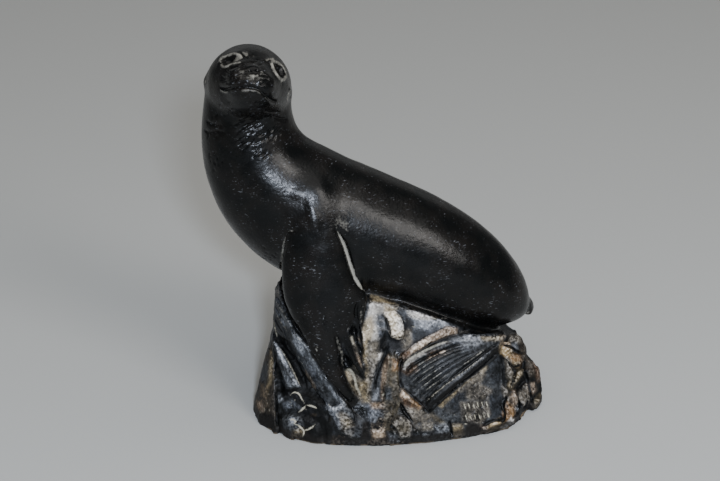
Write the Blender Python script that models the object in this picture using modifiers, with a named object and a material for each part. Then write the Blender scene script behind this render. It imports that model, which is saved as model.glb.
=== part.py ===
"""Sea lion on a rock, carved from one block of black soapstone.

The animal rests on its fore flippers with its chest raised and its head turned to the front (-Y).
Its hind flippers are folded forward against the rock, and the tail points to +X.
Units are metres, +Z is up, and the origin is the middle of the underside.
"""

import math

import bmesh
import bpy
import numpy as np
from mathutils import Matrix, Vector
from mathutils.bvhtree import BVHTree

# Driving sizes.
FIGURE_HEIGHT = 0.0717  # crown above the rock's edge
ROCK_LENGTH = 0.0998  # along X, at the table
ROCK_DEPTH = 0.0540  # along Y, at the table
ROCK_RISE = 0.0405  # table to the highest edge, under the chest

# The forms below are drawn in small steps. The animal's height and the rock's length, depth and
# rise hold so many of them.
FIGURE_STEPS = 71.7
ROCK_STEPS = (99.8, 54.0, 40.5)

# How finely the block is worked.
VOXEL = 0.00055
POLISH_ROUNDS = 14  # on the skin
SHOULDER_ROUNDS = 120  # where the arms leave the body
TOOLED_ROUNDS = 2  # on the rock, which keeps its chisel edges
FACET_BUDGET = 9400
RING_SIDES = 12
CAGE_LEVELS = 2

STONE = (0.012, 0.012, 0.013, 1.0)
STONE_ROUGHNESS = 0.35

# The marks of the face and flippers are drawn on a sheet seen from the front and a little above.
SHEET_AIM = (-4.8, 2.2, 51.0)
SHEET_DISTANCE = 460.0
SHEET_RISE = 25.0
SHEET_SCALE = 1600.0  # points of the sheet for each unit of width over distance
SHEET_MIDDLE = (360.0, 240.5)
# Each mark: points across and down the sheet, half width and depth in steps. A negative depth raises.
MARKS = (
    (((219, 64), (223, 57), (230, 53), (237, 53), (243, 58), (242, 64), (235, 66), (228, 67),
      (219, 64)), 0.9, -0.45),
    (((226, 61), (232, 59)), 1.5, 0.55),
    (((271, 61), (278, 62), (284, 69), (286, 76), (284, 80), (277, 76), (272, 69), (271, 61)),
     0.9, -0.45),
    (((279, 67), (282, 74)), 1.3, 0.55),
    (((219, 89), (225, 92), (234, 91), (247, 91), (258, 91), (267, 97), (276, 102)), 0.8, 0.7),
    (((246, 73), (248, 74)), 0.8, 0.5),
    (((255, 73), (257, 73)), 0.8, 0.5),
    (((285, 232), (282, 252), (281, 278), (285, 303), (293, 323), (306, 343)), 1.1, 0.9),
    (((345, 243), (350, 262), (357, 280), (367, 293)), 1.3, 1.2),
    (((335, 335), (340, 356), (344, 372), (353, 390)), 0.9, 0.6),
)

# A ring of twelve points rounds off inside its own radius when it is subdivided. This puts it back.
RING_SWELL = 3 / (2 + math.cos(2 * math.pi / RING_SIDES))

# Rows of the trunk, tail to crown: x, y, z of the middle, half width across, half depth of the trunk.
TRUNK = (
    (43.6, 1.5, 27.9, 2.0, 2.0),
    (41.8, 1.5, 29.6, 5.6, 4.9),
    (38.6, 1.2, 32.0, 9.0, 8.4),
    (34.4, 1.0, 34.6, 11.8, 11.2),
    (28.9, 1.0, 38.6, 13.8, 13.4),
    (22.8, 1.0, 42.8, 15.2, 14.9),
    (15.9, 1.0, 46.7, 16.0, 15.8),
    (9.3, 1.0, 50.0, 16.4, 16.6),
    (-5.5, 1.0, 55.5, 16.8, 18.0),
    (-13.5, 0.8, 58.0, 17.0, 18.8),
    (-19.8, 0.5, 60.8, 16.8, 19.3),
    (-26.6, 0.5, 66.3, 16.0, 18.4),
    (-32.3, 1.0, 72.8, 14.8, 16.4),
    (-35.3, 1.5, 80.2, 13.6, 14.3),
    (-36.2, 2.0, 86.8, 12.8, 13.1),
    (-35.9, 2.2, 92.5, 12.2, 12.2),
    (-35.7, 2.0, 98.0, 11.4, 11.6),
    (-35.6, 2.0, 104.0, 8.0, 8.0),
)

# The head has its own frame: forward along the muzzle, side to the sculpture's right in front view.
HEAD_MIDDLE = (-35.4, 1.4, 98.2)
HEAD_PITCH = 25.0
HEAD_YAW = 8.5
HEAD_ROLL = 12.0
# Rows from the back of the skull to the nose: forward, half width, top, bottom.
HEAD = (
    (-12.4, 2.6, 2.6, 2.6),
    (-11.2, 6.2, 6.0, 6.2),
    (-8.4, 9.8, 9.4, 9.6),
    (-4.2, 11.7, 11.2, 11.2),
    (0.6, 12.0, 11.7, 11.6),
    (5.0, 11.4, 10.8, 11.2),
    (8.8, 10.2, 9.0, 10.4),
    (12.0, 8.6, 6.7, 9.4),
    (15.2, 7.4, 5.0, 8.2),
    (17.8, 6.4, 4.1, 7.0),
    (19.8, 4.9, 3.1, 5.6),
    (20.8, 2.4, 1.5, 3.0),
)
EAR_ALONG = (-0.4, 10.7, 1.8)  # root: forward, side, up
EAR_LENGTH = 4.4

MIDDLE = 1.0  # y of the plane between the near and the far side
# Flippers: x, y, z, half width, half thickness. They're drawn on the near side.
ARM = (
    (-19.0, -9.0, 76.0, 4.0, 3.0),
    (-18.4, -11.0, 70.0, 7.4, 4.0),
    (-18.2, -12.8, 64.0, 8.4, 4.4),
    (-17.5, -14.4, 58.0, 9.2, 4.6),
    (-16.9, -15.3, 52.0, 9.9, 4.9),
    (-16.2, -15.7, 47.0, 10.8, 5.4),
    (-14.7, -15.6, 43.0, 11.6, 6.0),
    (-14.4, -15.8, 40.0, 11.3, 6.2),
    (-14.8, -17.4, 36.0, 9.4, 5.2),
    (-15.0, -18.9, 32.5, 7.1, 4.4),
    (-14.3, -20.8, 27.0, 4.5, 3.6),
    (-12.9, -21.8, 22.6, 3.5, 3.2),
    (-9.8, -23.0, 17.0, 2.7, 2.8),
    (-6.6, -24.2, 13.4, 1.4, 1.8),
)
DIGITS = (
    (
        (-10.4, -17.7, 38.6, 3.0, 3.5),
        (-9.3, -18.8, 34.0, 1.9, 3.2),
        (-8.1, -19.8, 29.3, 1.6, 2.8),
        (-6.5, -20.6, 25.0, 1.3, 2.6),
        (-4.4, -21.4, 20.8, 0.8, 1.9),
    ),
    (
        (-5.2, -14.8, 45.0, 2.8, 4.2),
        (-4.7, -16.6, 40.0, 2.0, 3.2),
        (-5.2, -17.6, 35.6, 1.4, 2.6),
        (-4.6, -18.4, 31.0, 1.0, 2.3),
        (-4.1, -19.1, 27.6, 0.6, 1.7),
    ),
)
SHOULDER = (-18.0, -15.0, 66.0)  # where the arm runs into the chest without an edge
SHOULDER_REACH = 15.0
HIND_PLATE = (
    (37.0, -9.6, 27.6, 2.2, 2.4),
    (33.6, -12.2, 26.4, 3.0, 2.2),
    (28.6, -14.8, 24.8, 4.4, 1.9),
    (22.0, -17.0, 22.4, 6.4, 1.7),
    (15.6, -19.2, 19.6, 7.8, 1.6),
    (10.8, -20.8, 17.8, 7.2, 1.4),
    (8.2, -21.6, 17.4, 4.6, 0.9),
)
HIND_ROOT = (35.5, -11.8, 26.6)
HIND_TOES = (  # x, y, z, thickness and bow of each toe, top to bottom
    (7.1, -20.9, 22.0, 1.3, 4.2),
    (6.6, -21.9, 18.9, 0.9, 3.6),
    (8.0, -22.6, 16.2, 1.0, 3.1),
    (10.4, -23.2, 13.9, 0.9, 2.7),
    (13.6, -23.9, 10.6, 1.9, 2.4),
)
TAIL = (
    (41.0, 3.6, 31.4, 2.2, 2.6),
    (43.6, 3.8, 30.2, 2.6, 3.2),
    (45.0, 4.0, 28.0, 2.0, 2.4),
    (44.6, 4.0, 25.4, 1.1, 1.3),
)

# The rock: outline at the table, then the edge that the body lies in, both from -X by way of -Y.
FOOT = (
    (-31.6, -3.0), (-30.4, -11.0), (-28.0, -17.6), (-24.9, -21.8), (-14.0, -26.7), (-6.0, -27.2),
    (1.6, -27.2), (10.9, -26.0), (19.5, -24.4), (26.4, -22.7), (33.5, -20.0), (39.2, -16.9),
    (43.4, -11.4), (45.8, -3.0), (45.4, 7.5), (42.0, 15.4), (32.0, 21.2), (19.0, 25.2),
    (5.0, 26.4), (-9.0, 25.4), (-21.0, 21.6), (-30.0, 14.6), (-32.0, 5.6),
)
CREST = (
    (-29.4, 0.0, 37.0), (-27.6, -4.4, 38.6), (-21.8, -8.2, 40.4), (-12.0, -11.6, 39.6),
    (-2.6, -13.8, 39.4), (7.0, -14.4, 38.2), (15.6, -14.2, 34.8), (24.0, -13.6, 30.8),
    (33.0, -11.8, 26.4), (38.6, -7.0, 22.8), (40.4, 0.5, 21.0), (38.0, 8.6, 22.6),
    (31.0, 13.0, 26.8), (20.0, 15.0, 31.6), (7.0, 15.6, 36.6), (-8.0, 14.8, 39.2),
    (-21.0, 12.4, 40.2), (-27.6, 6.8, 38.4),
)
# More masses of the rock, each the hull of its corners. A corner at 0 is rooted under the table.
MASSES = {
    "left_slab": (
        (-30.2, -5.0, 24.6), (-29.4, -9.4, 23.0), (-29.3, -12.6, 17.5), (-29.0, -17.0, 9.0),
        (-29.2, -21.2, 0.0), (-34.8, -15.4, 0.0), (-36.8, -9.6, 0.0), (-36.6, -4.0, 0.0),
        (-35.8, -5.6, 3.6), (-33.8, -5.0, 12.0), (-35.0, 4.0, 0.0), (-30.2, 5.0, 23.0),
        (-32.4, 12.0, 0.0), (-28.4, 12.6, 20.0), (-22.0, 4.0, 0.0)),
    "tail_column": (
        (34.0, -10.6, 25.0), (38.4, -8.4, 23.6), (41.6, -3.4, 22.8), (43.6, -2.4, 18.4),
        (44.0, -3.0, 14.6), (46.0, -3.0, 0.0), (38.0, -19.0, 0.0), (43.0, -13.2, 0.0),
        (37.0, -12.6, 16.0), (40.0, 6.0, 21.0), (43.0, 9.0, 12.0), (44.0, 12.0, 0.0)),
    "right_bulge": (
        (43.0, -3.4, 15.0), (46.6, -2.8, 13.4), (48.6, -1.8, 9.6), (49.6, -1.0, 4.0),
        (49.6, -1.4, 0.0), (46.6, -8.4, 0.0), (43.0, -8.0, 9.0), (46.0, 6.0, 10.0),
        (47.8, 8.0, 0.0), (42.0, 10.0, 14.0)),
    "back_left": (
        (-25.4, 14.6, 28.0), (-14.0, 19.4, 29.0), (-10.0, 26.4, 4.0), (-28.0, 17.6, 0.0),
        (-20.0, 5.0, 27.0), (-12.0, 10.0, 0.0)),
    "back_middle": (
        (-6.0, 19.6, 33.0), (9.0, 20.0, 30.0), (15.0, 25.8, 5.0), (-8.0, 26.2, 0.0),
        (0.0, 5.0, 33.0), (14.0, 10.0, 0.0)),
    "back_right": (
        (17.0, 18.8, 26.0), (31.0, 15.6, 22.0), (38.4, 18.6, 0.0), (20.0, 26.4, 0.0),
        (24.0, 5.0, 24.0), (30.0, 5.0, 0.0)),
}
# The stone that a fore flipper lies on, on the near side.
BED = (
    (-26.0, -12.0, 40.0), (-25.0, -15.4, 33.0), (-23.0, -18.4, 23.0), (-17.0, -21.0, 12.0),
    (-6.0, -16.2, 41.5), (-2.8, -17.0, 34.0), (-3.2, -19.0, 27.0), (-3.4, -20.8, 19.0),
    (-7.0, -22.6, 8.0), (5.0, -14.6, 36.0), (5.0, -20.0, 16.0), (-20.0, -4.0, 41.0),
    (-17.0, -7.5, 46.0), (-8.0, -7.5, 46.0), (4.0, -5.0, 43.0), (-6.0, -8.0, 8.0),
)
SEAT = 3.0  # how far the rooted corners reach below the table before it is sawn flat
WAIST_HEIGHT = 7.0  # where the foot starts to lean in
WAIST_SHARE = (0.965, 0.955)  # of the outline at the table

# Flat-faced stones drawn on the front sheet: points across and down, and how many steps each
# corner stands out of the mass behind it.
STONES = {
    "knob": (
        (269, 300, 1.6), (275, 291, 2.2), (284, 292, 3.0), (291, 308, 3.6), (293, 330, 3.4),
        (285, 334, 1.4), (277, 324, 0.8), (271, 313, 0.8)),
    "long_ridge": (
        (283, 312, 2.4), (292, 332, 3.4), (305, 346, 3.4), (322, 369, 3.0), (337, 392, 2.8),
        (347, 405, 2.4), (338, 406, 1.2), (325, 404, 0.5), (312, 390, 0.3), (300, 371, 0.3),
        (288, 350, 0.4), (281, 332, 0.8)),
    "ridge_end": (
        (330, 409, 1.6), (347, 404, 2.6), (353, 420, 2.2), (360, 434, 1.1), (350, 438, 0.3),
        (338, 430, 1.0), (332, 418, 1.0)),
    "short_ridge": (
        (274, 342, 2.4), (281, 351, 2.6), (291, 368, 2.4), (301, 387, 1.8), (294, 391, 0.6),
        (286, 389, 0.4), (279, 375, 0.4), (275, 358, 0.6)),
    "cracked_block": (
        (277, 399, 1.4), (290, 392, 1.8), (308, 396, 1.8), (322, 405, 1.4), (330, 420, 1.0),
        (335, 436, 0.3), (310, 439, 0.3), (284, 434, 0.5), (278, 420, 1.0)),
    "cream_facet": (
        (370, 304, 1.2), (386, 307, 1.2), (385, 330, 1.2), (381, 345, 1.0), (374, 384, 1.0),
        (367, 396, 0.6), (363, 380, 0.8), (364, 350, 1.2), (368, 325, 1.4)),
    "raised_block": (
        (386, 311, 2.2), (396, 311, 2.4), (404, 320, 2.2), (403, 334, 1.8), (397, 339, 1.6),
        (389, 333, 2.0)),
    "rim_of_fan": (
        (455, 326, 1.6), (440, 331, 1.9), (415, 345, 1.9), (404, 355, 1.6), (405, 360, 0.4),
        (418, 351, 0.4), (436, 339, 0.4), (456, 331, 0.4)),
    "brown_column": (
        (391, 352, 0.8), (399, 360, 1.0), (402, 385, 1.0), (406, 396, 0.8), (400, 406, 0.8),
        (388, 405, 0.8), (384, 385, 0.6)),
    "low_middle": (
        (371, 409, 1.2), (383, 403, 1.2), (392, 413, 1.2), (389, 430, 0.6), (375, 434, 0.3),
        (368, 421, 0.9)),
    "low_diamond": (
        (392, 425, 1.0), (400, 417, 1.4), (410, 422, 1.4), (413, 433, 0.8), (405, 438, 0.3),
        (396, 435, 0.3)),
    "low_band": (
        (413, 429, 1.0), (430, 424, 1.3), (450, 427, 1.1), (453, 437, 0.6), (432, 441, 0.6),
        (415, 440, 0.6)),
    "tan_foot": (
        (482, 428, 1.0), (492, 421, 1.4), (503, 421, 1.4), (507, 428, 1.0), (496, 432, 0.8),
        (484, 435, 0.8)),
    "ochre_knob": (
        (501, 345, 1.2), (507, 337, 1.6), (516, 338, 1.8), (521, 348, 1.6), (520, 356, 1.2),
        (512, 357, 1.2), (503, 353, 1.2)),
    "orange_shard": (
        (511, 357, 1.0), (521, 352, 1.6), (524, 357, 1.6), (521, 366, 1.2), (515, 368, 1.0)),
    "long_grey_shard": (
        (503, 357, 0.8), (509, 356, 1.4), (513, 368, 1.4), (510, 381, 1.0), (506, 373, 0.6)),
    "slanted_shard": (
        (509, 387, 0.8), (515, 375, 1.4), (524, 368, 1.4), (526, 373, 1.0), (517, 388, 1.0),
        (512, 392, 0.8)),
    "right_shard": (
        (528, 358, 0.8), (534, 361, 1.2), (538, 370, 1.2), (538, 384, 1.0), (531, 383, 1.2),
        (528, 370, 0.8)),
    "low_right_shard": (
        (532, 400, 1.2), (537, 394, 1.2), (538, 402, 0.8), (533, 410, 0.8), (528, 412, 0.8)),
    "ochre_shard": (
        (512, 391, 0.8), (518, 390, 1.4), (521, 403, 1.4), (515, 416, 1.0), (510, 413, 0.6),
        (511, 402, 0.8)),
    "middle_shard": (
        (520, 389, 0.8), (526, 393, 1.4), (530, 405, 1.2), (525, 410, 0.8), (521, 403, 0.6)),
    "low_orange_shard": (
        (503, 412, 0.8), (511, 410, 1.4), (515, 419, 1.2), (507, 426, 0.8), (502, 420, 0.6)),
}
STONE_SPREAD = 1.25  # how much wider a stone is where it is rooted than at its face
STONE_ROOT = 3.0  # how deep it is rooted


def step():
    """One step of the animal, in metres."""
    return FIGURE_HEIGHT / FIGURE_STEPS


def rock_steps():
    """One step of the rock along each axis, in metres."""
    sizes = (ROCK_LENGTH, ROCK_DEPTH, ROCK_RISE)
    return Vector([size / steps for size, steps in zip(sizes, ROCK_STEPS)])


def seated(x, y, z):
    """A drawn point of the animal, in metres. It stands on the rock's highest edge."""
    return Vector((x * step(), y * step(), ROCK_RISE + (z - ROCK_STEPS[2]) * step()))


def laid(x, y, z):
    """A drawn point of a flipper, in metres. Below the edge it lies on the face of the rock."""
    point = seated(x, y, z)
    point.y = y * rock_steps().y
    if z < ROCK_STEPS[2]:
        point.z = z * rock_steps().z
    return point


def add_object(name, bm):
    """Puts a finished bmesh in the scene as an object."""
    mesh = bpy.data.meshes.new(name)
    bmesh.ops.recalc_face_normals(bm, faces=bm.faces)
    bm.to_mesh(mesh)
    bm.free()
    obj = bpy.data.objects.new(name, mesh)
    bpy.context.scene.collection.objects.link(obj)
    return obj


def loft(name, rows, across, place=seated):
    """A soft form through rings of twelve points, one for each row of x, y, z, half width, half thickness.

    The half width lies along the direction across, as nearly as the path lets it.
    """
    middles = [place(*row[:3]) for row in rows]
    bm = bmesh.new()
    rings = []
    for i, row in enumerate(rows):
        ahead = middles[min(i + 1, len(rows) - 1)] - middles[max(i - 1, 0)]
        ahead.normalize()
        wide = Vector(across)
        wide = (wide - ahead * wide.dot(ahead)).normalized()
        thick = ahead.cross(wide)
        turn = Matrix((wide, thick, ahead)).transposed().to_4x4()
        size = Matrix.Diagonal((row[3] * step(), row[4] * step(), 1, 1))
        frame = Matrix.Translation(middles[i]) @ turn @ size
        made = bmesh.ops.create_circle(bm, segments=RING_SIDES, radius=RING_SWELL, matrix=frame)
        ring = made["verts"]
        rings.append(list({edge for vert in ring for edge in vert.link_edges}))
    for first, second in zip(rings, rings[1:]):
        bmesh.ops.bridge_loops(bm, edges=first + second)
    bmesh.ops.holes_fill(bm, edges=bm.edges)
    obj = add_object(name, bm)
    rounding = obj.modifiers.new("rounding", "SUBSURF")
    rounding.levels = CAGE_LEVELS
    rounding.render_levels = CAGE_LEVELS
    return obj


def head_frame():
    """Forward, side and up directions of the head, as the columns of a matrix, and its middle."""
    pitch, yaw, roll = (math.radians(a) for a in (HEAD_PITCH, HEAD_YAW, HEAD_ROLL))
    forward = Vector(
        (math.cos(pitch) * math.sin(yaw), -math.cos(pitch) * math.cos(yaw), math.sin(pitch))
    )
    side = Vector((math.cos(yaw), math.sin(yaw), 0))
    up = forward.cross(side)
    tilt = Matrix.Rotation(roll, 3, -forward)
    side, up = tilt @ side, tilt @ up
    return Matrix((forward, side, up)).transposed(), Vector(HEAD_MIDDLE)


def in_head(forward, side, up):
    """A point of the head's own frame, as drawn coordinates of the figure."""
    axes, middle = head_frame()
    return middle + axes @ Vector((forward, side, up))


def head():
    """The skull and muzzle."""
    axes, _ = head_frame()
    rows = []
    for forward, width, top, bottom in HEAD:
        point = in_head(forward, 0, (top - bottom) / 2)
        rows.append((*point, width, (top + bottom) / 2))
    return loft("head", rows, axes.col[1])


def ear(name, hand):
    """A small curled ear, hanging from the side of the skull."""
    forward, side, up = EAR_ALONG
    rows = []
    for share, out, half in ((0.0, 0.0, 1.2), (0.3, 0.8, 1.5), (0.65, 1.1, 1.3), (1.0, 0.9, 0.7)):
        point = in_head(
            forward - 0.35 * EAR_LENGTH * share, hand * (side + out), up - EAR_LENGTH * share
        )
        rows.append((*point, half, 0.6 * half + 0.3))
    return loft(name, rows, (0.2, -1, 0))


def other_side(rows):
    """The same rows on the far side of the animal."""
    return tuple((row[0], 2 * MIDDLE - row[1], *row[2:]) for row in rows)


def toes(root, tips):
    """Rows of each toe of a hind flipper, from its root to its tip, bowed upwards."""
    for x, y, z, half, rise in tips:
        rows = []
        for share in (0.12, 0.35, 0.6, 0.82, 0.95, 1.0):
            bow = 4 * share * (1 - share)
            swell = math.sin(math.pi * (0.15 + 0.72 * share))
            rows.append(
                (
                    root[0] + (x - root[0]) * share,
                    root[1] + (y - root[1]) * share - 0.6 * bow,
                    root[2] + (z - root[2]) * share + rise * bow,
                    half * (0.45 + 0.55 * swell),
                    half * (0.5 + 0.5 * swell),
                )
            )
        yield tuple(rows)


def flippers():
    """Both pairs of flippers."""
    made = []
    for hand, sided in (("near", tuple), ("far", other_side)):
        made.append(loft(f"arm_{hand}", sided(ARM), (1, 0, 0), laid))
        for n, rows in enumerate(DIGITS):
            made.append(loft(f"finger_{hand}_{n}", sided(rows), (1, 0, 0), laid))
        made.append(loft(f"hind_{hand}", sided(HIND_PLATE), (0.35, 0, 1), laid))
        for n, rows in enumerate(toes(HIND_ROOT, HIND_TOES)):
            made.append(loft(f"toe_{hand}_{n}", sided(rows), (0.35, 0, 1), laid))
    return made


def sheet_ray(across, down):
    """Start and direction, in drawn steps, of the line of sight through a point of the sheet."""
    rise = math.radians(SHEET_RISE)
    back = Vector((0, -math.cos(rise), math.sin(rise)))
    upward = Vector((0, math.sin(rise), math.cos(rise)))
    right = (across - SHEET_MIDDLE[0]) / SHEET_SCALE
    up = (SHEET_MIDDLE[1] - down) / SHEET_SCALE
    start = Vector(SHEET_AIM) + back * SHEET_DISTANCE
    return start, (upward * up + Vector((right, 0, 0)) - back).normalized()


def tree_of(obj):
    """The object's surface, ready to be measured."""
    bm = bmesh.new()
    bm.from_mesh(obj.data)
    tree = BVHTree.FromBMesh(bm)
    bm.free()
    return tree


def boulder(name, points):
    """A flat-sided stone: the hull of its corners."""
    bm = bmesh.new()
    for point in points:
        bm.verts.new(point)
    hull = bmesh.ops.convex_hull(bm, input=bm.verts)
    inside = [v for v in hull["geom_interior"] if isinstance(v, bmesh.types.BMVert)]
    bmesh.ops.delete(bm, geom=inside, context="VERTS")
    return add_object(name, bm)


def evaluated_mesh(obj):
    """The object's mesh with its modifiers applied, in world space."""
    graph = bpy.context.evaluated_depsgraph_get()
    mesh = bpy.data.meshes.new_from_object(obj.evaluated_get(graph))
    mesh.transform(obj.matrix_world)
    return mesh


def joined(name, objects):
    """One object that holds the meshes of several, which are then removed."""
    bm = bmesh.new()
    bpy.context.view_layer.update()
    for obj in objects:
        mesh = evaluated_mesh(obj)
        bm.from_mesh(mesh)
        bpy.data.meshes.remove(mesh)
    for obj in objects:
        bpy.data.objects.remove(obj)
    mesh = bpy.data.meshes.new(name)
    bm.to_mesh(mesh)
    bm.free()
    obj = bpy.data.objects.new(name, mesh)
    bpy.context.scene.collection.objects.link(obj)
    return obj


def rock():
    """The block that the animal lies on: its masses, and the stones that stand out of them."""
    low = [(x, y, -SEAT) for x, y in FOOT]
    waist = [(x * WAIST_SHARE[0], y * WAIST_SHARE[1], WAIST_HEIGHT) for x, y in FOOT]
    masses = [boulder("mass", low + waist + list(CREST))]
    for name, corners in MASSES.items():
        masses.append(boulder(name, [(x, y, z or -SEAT) for x, y, z in corners]))
    masses.append(boulder("near_bed", BED))
    masses.append(boulder("far_bed", other_side(BED)))
    block = joined("masses", masses)
    surface = tree_of(block)
    stones = [block]
    for name, drawn in STONES.items():
        rays = [(*sheet_ray(across, down), lift) for across, down, lift in drawn]
        face = [(surface.ray_cast(start, sight)[0], sight, lift) for start, sight, lift in rays]
        face = [(hit, sight, lift) for hit, sight, lift in face if hit is not None]
        middle = sum((hit for hit, _, _ in face), Vector()) / len(face)
        corners = [hit - sight * lift for hit, sight, lift in face]
        for hit, sight, _ in face:
            corners.append(middle + (hit - middle) * STONE_SPREAD + sight * STONE_ROOT)
        stones.append(boulder(name, corners))
    whole = joined("rock", stones)
    whole.data.transform(Matrix.Diagonal(rock_steps()).to_4x4())
    return whole


def merged(obj):
    """Merges the overlapping forms of an object into one skin of even squares."""
    merge = obj.modifiers.new("merge", "REMESH")
    merge.mode = "VOXEL"
    merge.voxel_size = VOXEL
    bake(obj)
    filled(obj)


def filled(obj):
    """Keeps the outer skin of the stone, so that no small pocket stays open inside it."""
    bm = bmesh.new()
    bm.from_mesh(obj.data)
    unseen = dict.fromkeys(bm.verts)
    skins = []
    while unseen:
        first = next(iter(unseen))
        del unseen[first]
        skin = [first]
        for vert in skin:
            for edge in vert.link_edges:
                other = edge.other_vert(vert)
                if other in unseen:
                    del unseen[other]
                    skin.append(other)
        skins.append(skin)
    skins.sort(key=len)
    pockets = [vert for skin in skins[:-1] for vert in skin]
    bmesh.ops.delete(bm, geom=pockets, context="VERTS")
    bm.to_mesh(obj.data)
    bm.free()


def bake(obj):
    """Applies the object's modifiers to its mesh."""
    bpy.context.view_layer.update()
    mesh = evaluated_mesh(obj)
    old = obj.data
    obj.modifiers.clear()
    obj.data = mesh
    bpy.data.meshes.remove(old)


def smoothed(obj, rounds, name, weights):
    """Smooths the points of the object for so many rounds, each by its own weight."""
    group = obj.vertex_groups.new(name=name)
    for index, weight in enumerate(weights):
        if weight > 0:
            group.add([index], weight, "REPLACE")
    smooth = obj.modifiers.new(name, "SMOOTH")
    smooth.iterations = rounds
    smooth.vertex_group = group.name


def polished(obj, skin):
    """Smooths the rock a little, and the animal's skin, given by its own surface, a lot."""
    places = [vert.co for vert in obj.data.vertices]
    smoothed(obj, TOOLED_ROUNDS, "tooled", [1.0] * len(places))
    on_skin = [float(skin.find_nearest(co, 1.5 * VOXEL)[0] is not None) for co in places]
    smoothed(obj, POLISH_ROUNDS, "polish", on_skin)
    for side, rows in (("near", (SHOULDER,)), ("far", other_side((SHOULDER,)))):
        middle = laid(*rows[0])
        reach = SHOULDER_REACH * step()
        fade = [max(0.0, 1 - ((co - middle).length / reach) ** 2) for co in places]
        smoothed(obj, SHOULDER_ROUNDS, f"shoulder_{side}", fade)
    bake(obj)


def carved(obj, marks):
    """Cuts the drawn marks into the surface, each along the surface's own normal."""
    mesh = obj.data
    count = len(mesh.vertices)
    places = np.empty(count * 3)
    mesh.vertices.foreach_get("co", places)
    places = places.reshape(-1, 3)
    normals = np.empty(count * 3)
    mesh.vertices.foreach_get("normal", normals)
    normals = normals.reshape(-1, 3)
    surface = tree_of(obj)
    push = np.zeros(count)
    for drawn, half, depth in marks:
        rays = [sheet_ray(*point) for point in drawn]
        hits = [surface.ray_cast(seated(*start), sight)[0] for start, sight in rays]
        path = np.array([hit for hit in hits if hit is not None])
        gap = np.full(count, np.inf)
        for start, end in zip(path, path[1:]):
            along = end - start
            share = np.clip((places - start) @ along / max(along @ along, 1e-12), 0, 1)
            nearest = start + share[:, None] * along
            gap = np.minimum(gap, np.linalg.norm(places - nearest, axis=1))
        fade = np.clip(1 - (gap / (half * step())) ** 2, 0, None) ** 2
        push += depth * step() * fade
    places -= normals * push[:, None]
    mesh.vertices.foreach_set("co", places.ravel())
    mesh.update()


def faceted(obj):
    """Brings the skin down to the facet budget."""
    total = sum(len(face.vertices) - 2 for face in obj.data.polygons)
    fewer = obj.modifiers.new("fewer", "DECIMATE")
    fewer.ratio = FACET_BUDGET / total
    fewer.use_collapse_triangulate = True
    bake(obj)


def stood(obj):
    """Saws the underside flat at the table and puts the origin in its middle."""
    bm = bmesh.new()
    bm.from_mesh(obj.data)
    whole = bm.verts[:] + bm.edges[:] + bm.faces[:]
    cut = bmesh.ops.bisect_plane(
        bm, geom=whole, dist=1e-6, plane_co=(0, 0, 0), plane_no=(0, 0, 1), clear_inner=True
    )
    rim = [part for part in cut["geom_cut"] if isinstance(part, bmesh.types.BMEdge)]
    bmesh.ops.remove_doubles(bm, verts=list({v for e in rim for v in e.verts}), dist=0.0001)
    open_edges = [edge for edge in bm.edges if edge.is_boundary]
    bmesh.ops.contextual_create(bm, geom=open_edges)
    low = [min(vert.co[i] for vert in bm.verts) for i in range(3)]
    high = [max(vert.co[i] for vert in bm.verts) for i in range(3)]
    middle = Vector(((low[0] + high[0]) / 2, (low[1] + high[1]) / 2, low[2]))
    bmesh.ops.translate(bm, verts=bm.verts, vec=-middle)
    bmesh.ops.recalc_face_normals(bm, faces=bm.faces)
    bm.to_mesh(obj.data)
    bm.free()


def stone():
    """Black soapstone."""
    made = bpy.data.materials.new("black_soapstone")
    made.use_nodes = True
    shader = made.node_tree.nodes["Principled BSDF"]
    shader.inputs["Base Color"].default_value = STONE
    shader.inputs["Roughness"].default_value = STONE_ROUGHNESS
    return made


def main():
    """Builds the sculpture as one solid."""
    for obj in list(bpy.data.objects):
        bpy.data.objects.remove(obj)
    forms = [loft("trunk", TRUNK, (0, 1, 0)), head(), ear("ear_right", 1), ear("ear_left", -1)]
    forms += flippers()
    forms.append(loft("tail", TAIL, (0, 1, 0)))
    animal = joined("animal", forms)
    skin = tree_of(animal)
    carving = joined("sea_lion_on_rock", [animal, rock()])
    merged(carving)
    polished(carving, skin)
    carved(carving, MARKS)
    faceted(carving)
    stood(carving)
    carving.data.materials.append(stone())
    home = bpy.data.collections.new("sea_lion_carving")
    bpy.context.scene.collection.children.link(home)
    home.objects.link(carving)
    bpy.context.scene.collection.objects.unlink(carving)


main()
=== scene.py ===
"""A sea lion carved from one block of black soapstone, resting on its rock.

The carving is worked up from the solid of the frame: the skin is polished, the rock is chipped, and
the face, flippers and cracks are cut with strokes that are drawn on a sheet seen from the front.
Drawn points are across and down that sheet. Sizes are in millimetres where no other unit is named.
"""

import logging
import math
import random
from collections.abc import Callable
from dataclasses import dataclass, field, replace
from enum import Enum
from functools import partial
from itertools import cycle

import bpy
import numpy as np
from bpy.types import Material, NodeSocket, NodeTree, Object
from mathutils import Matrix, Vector, noise


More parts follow.
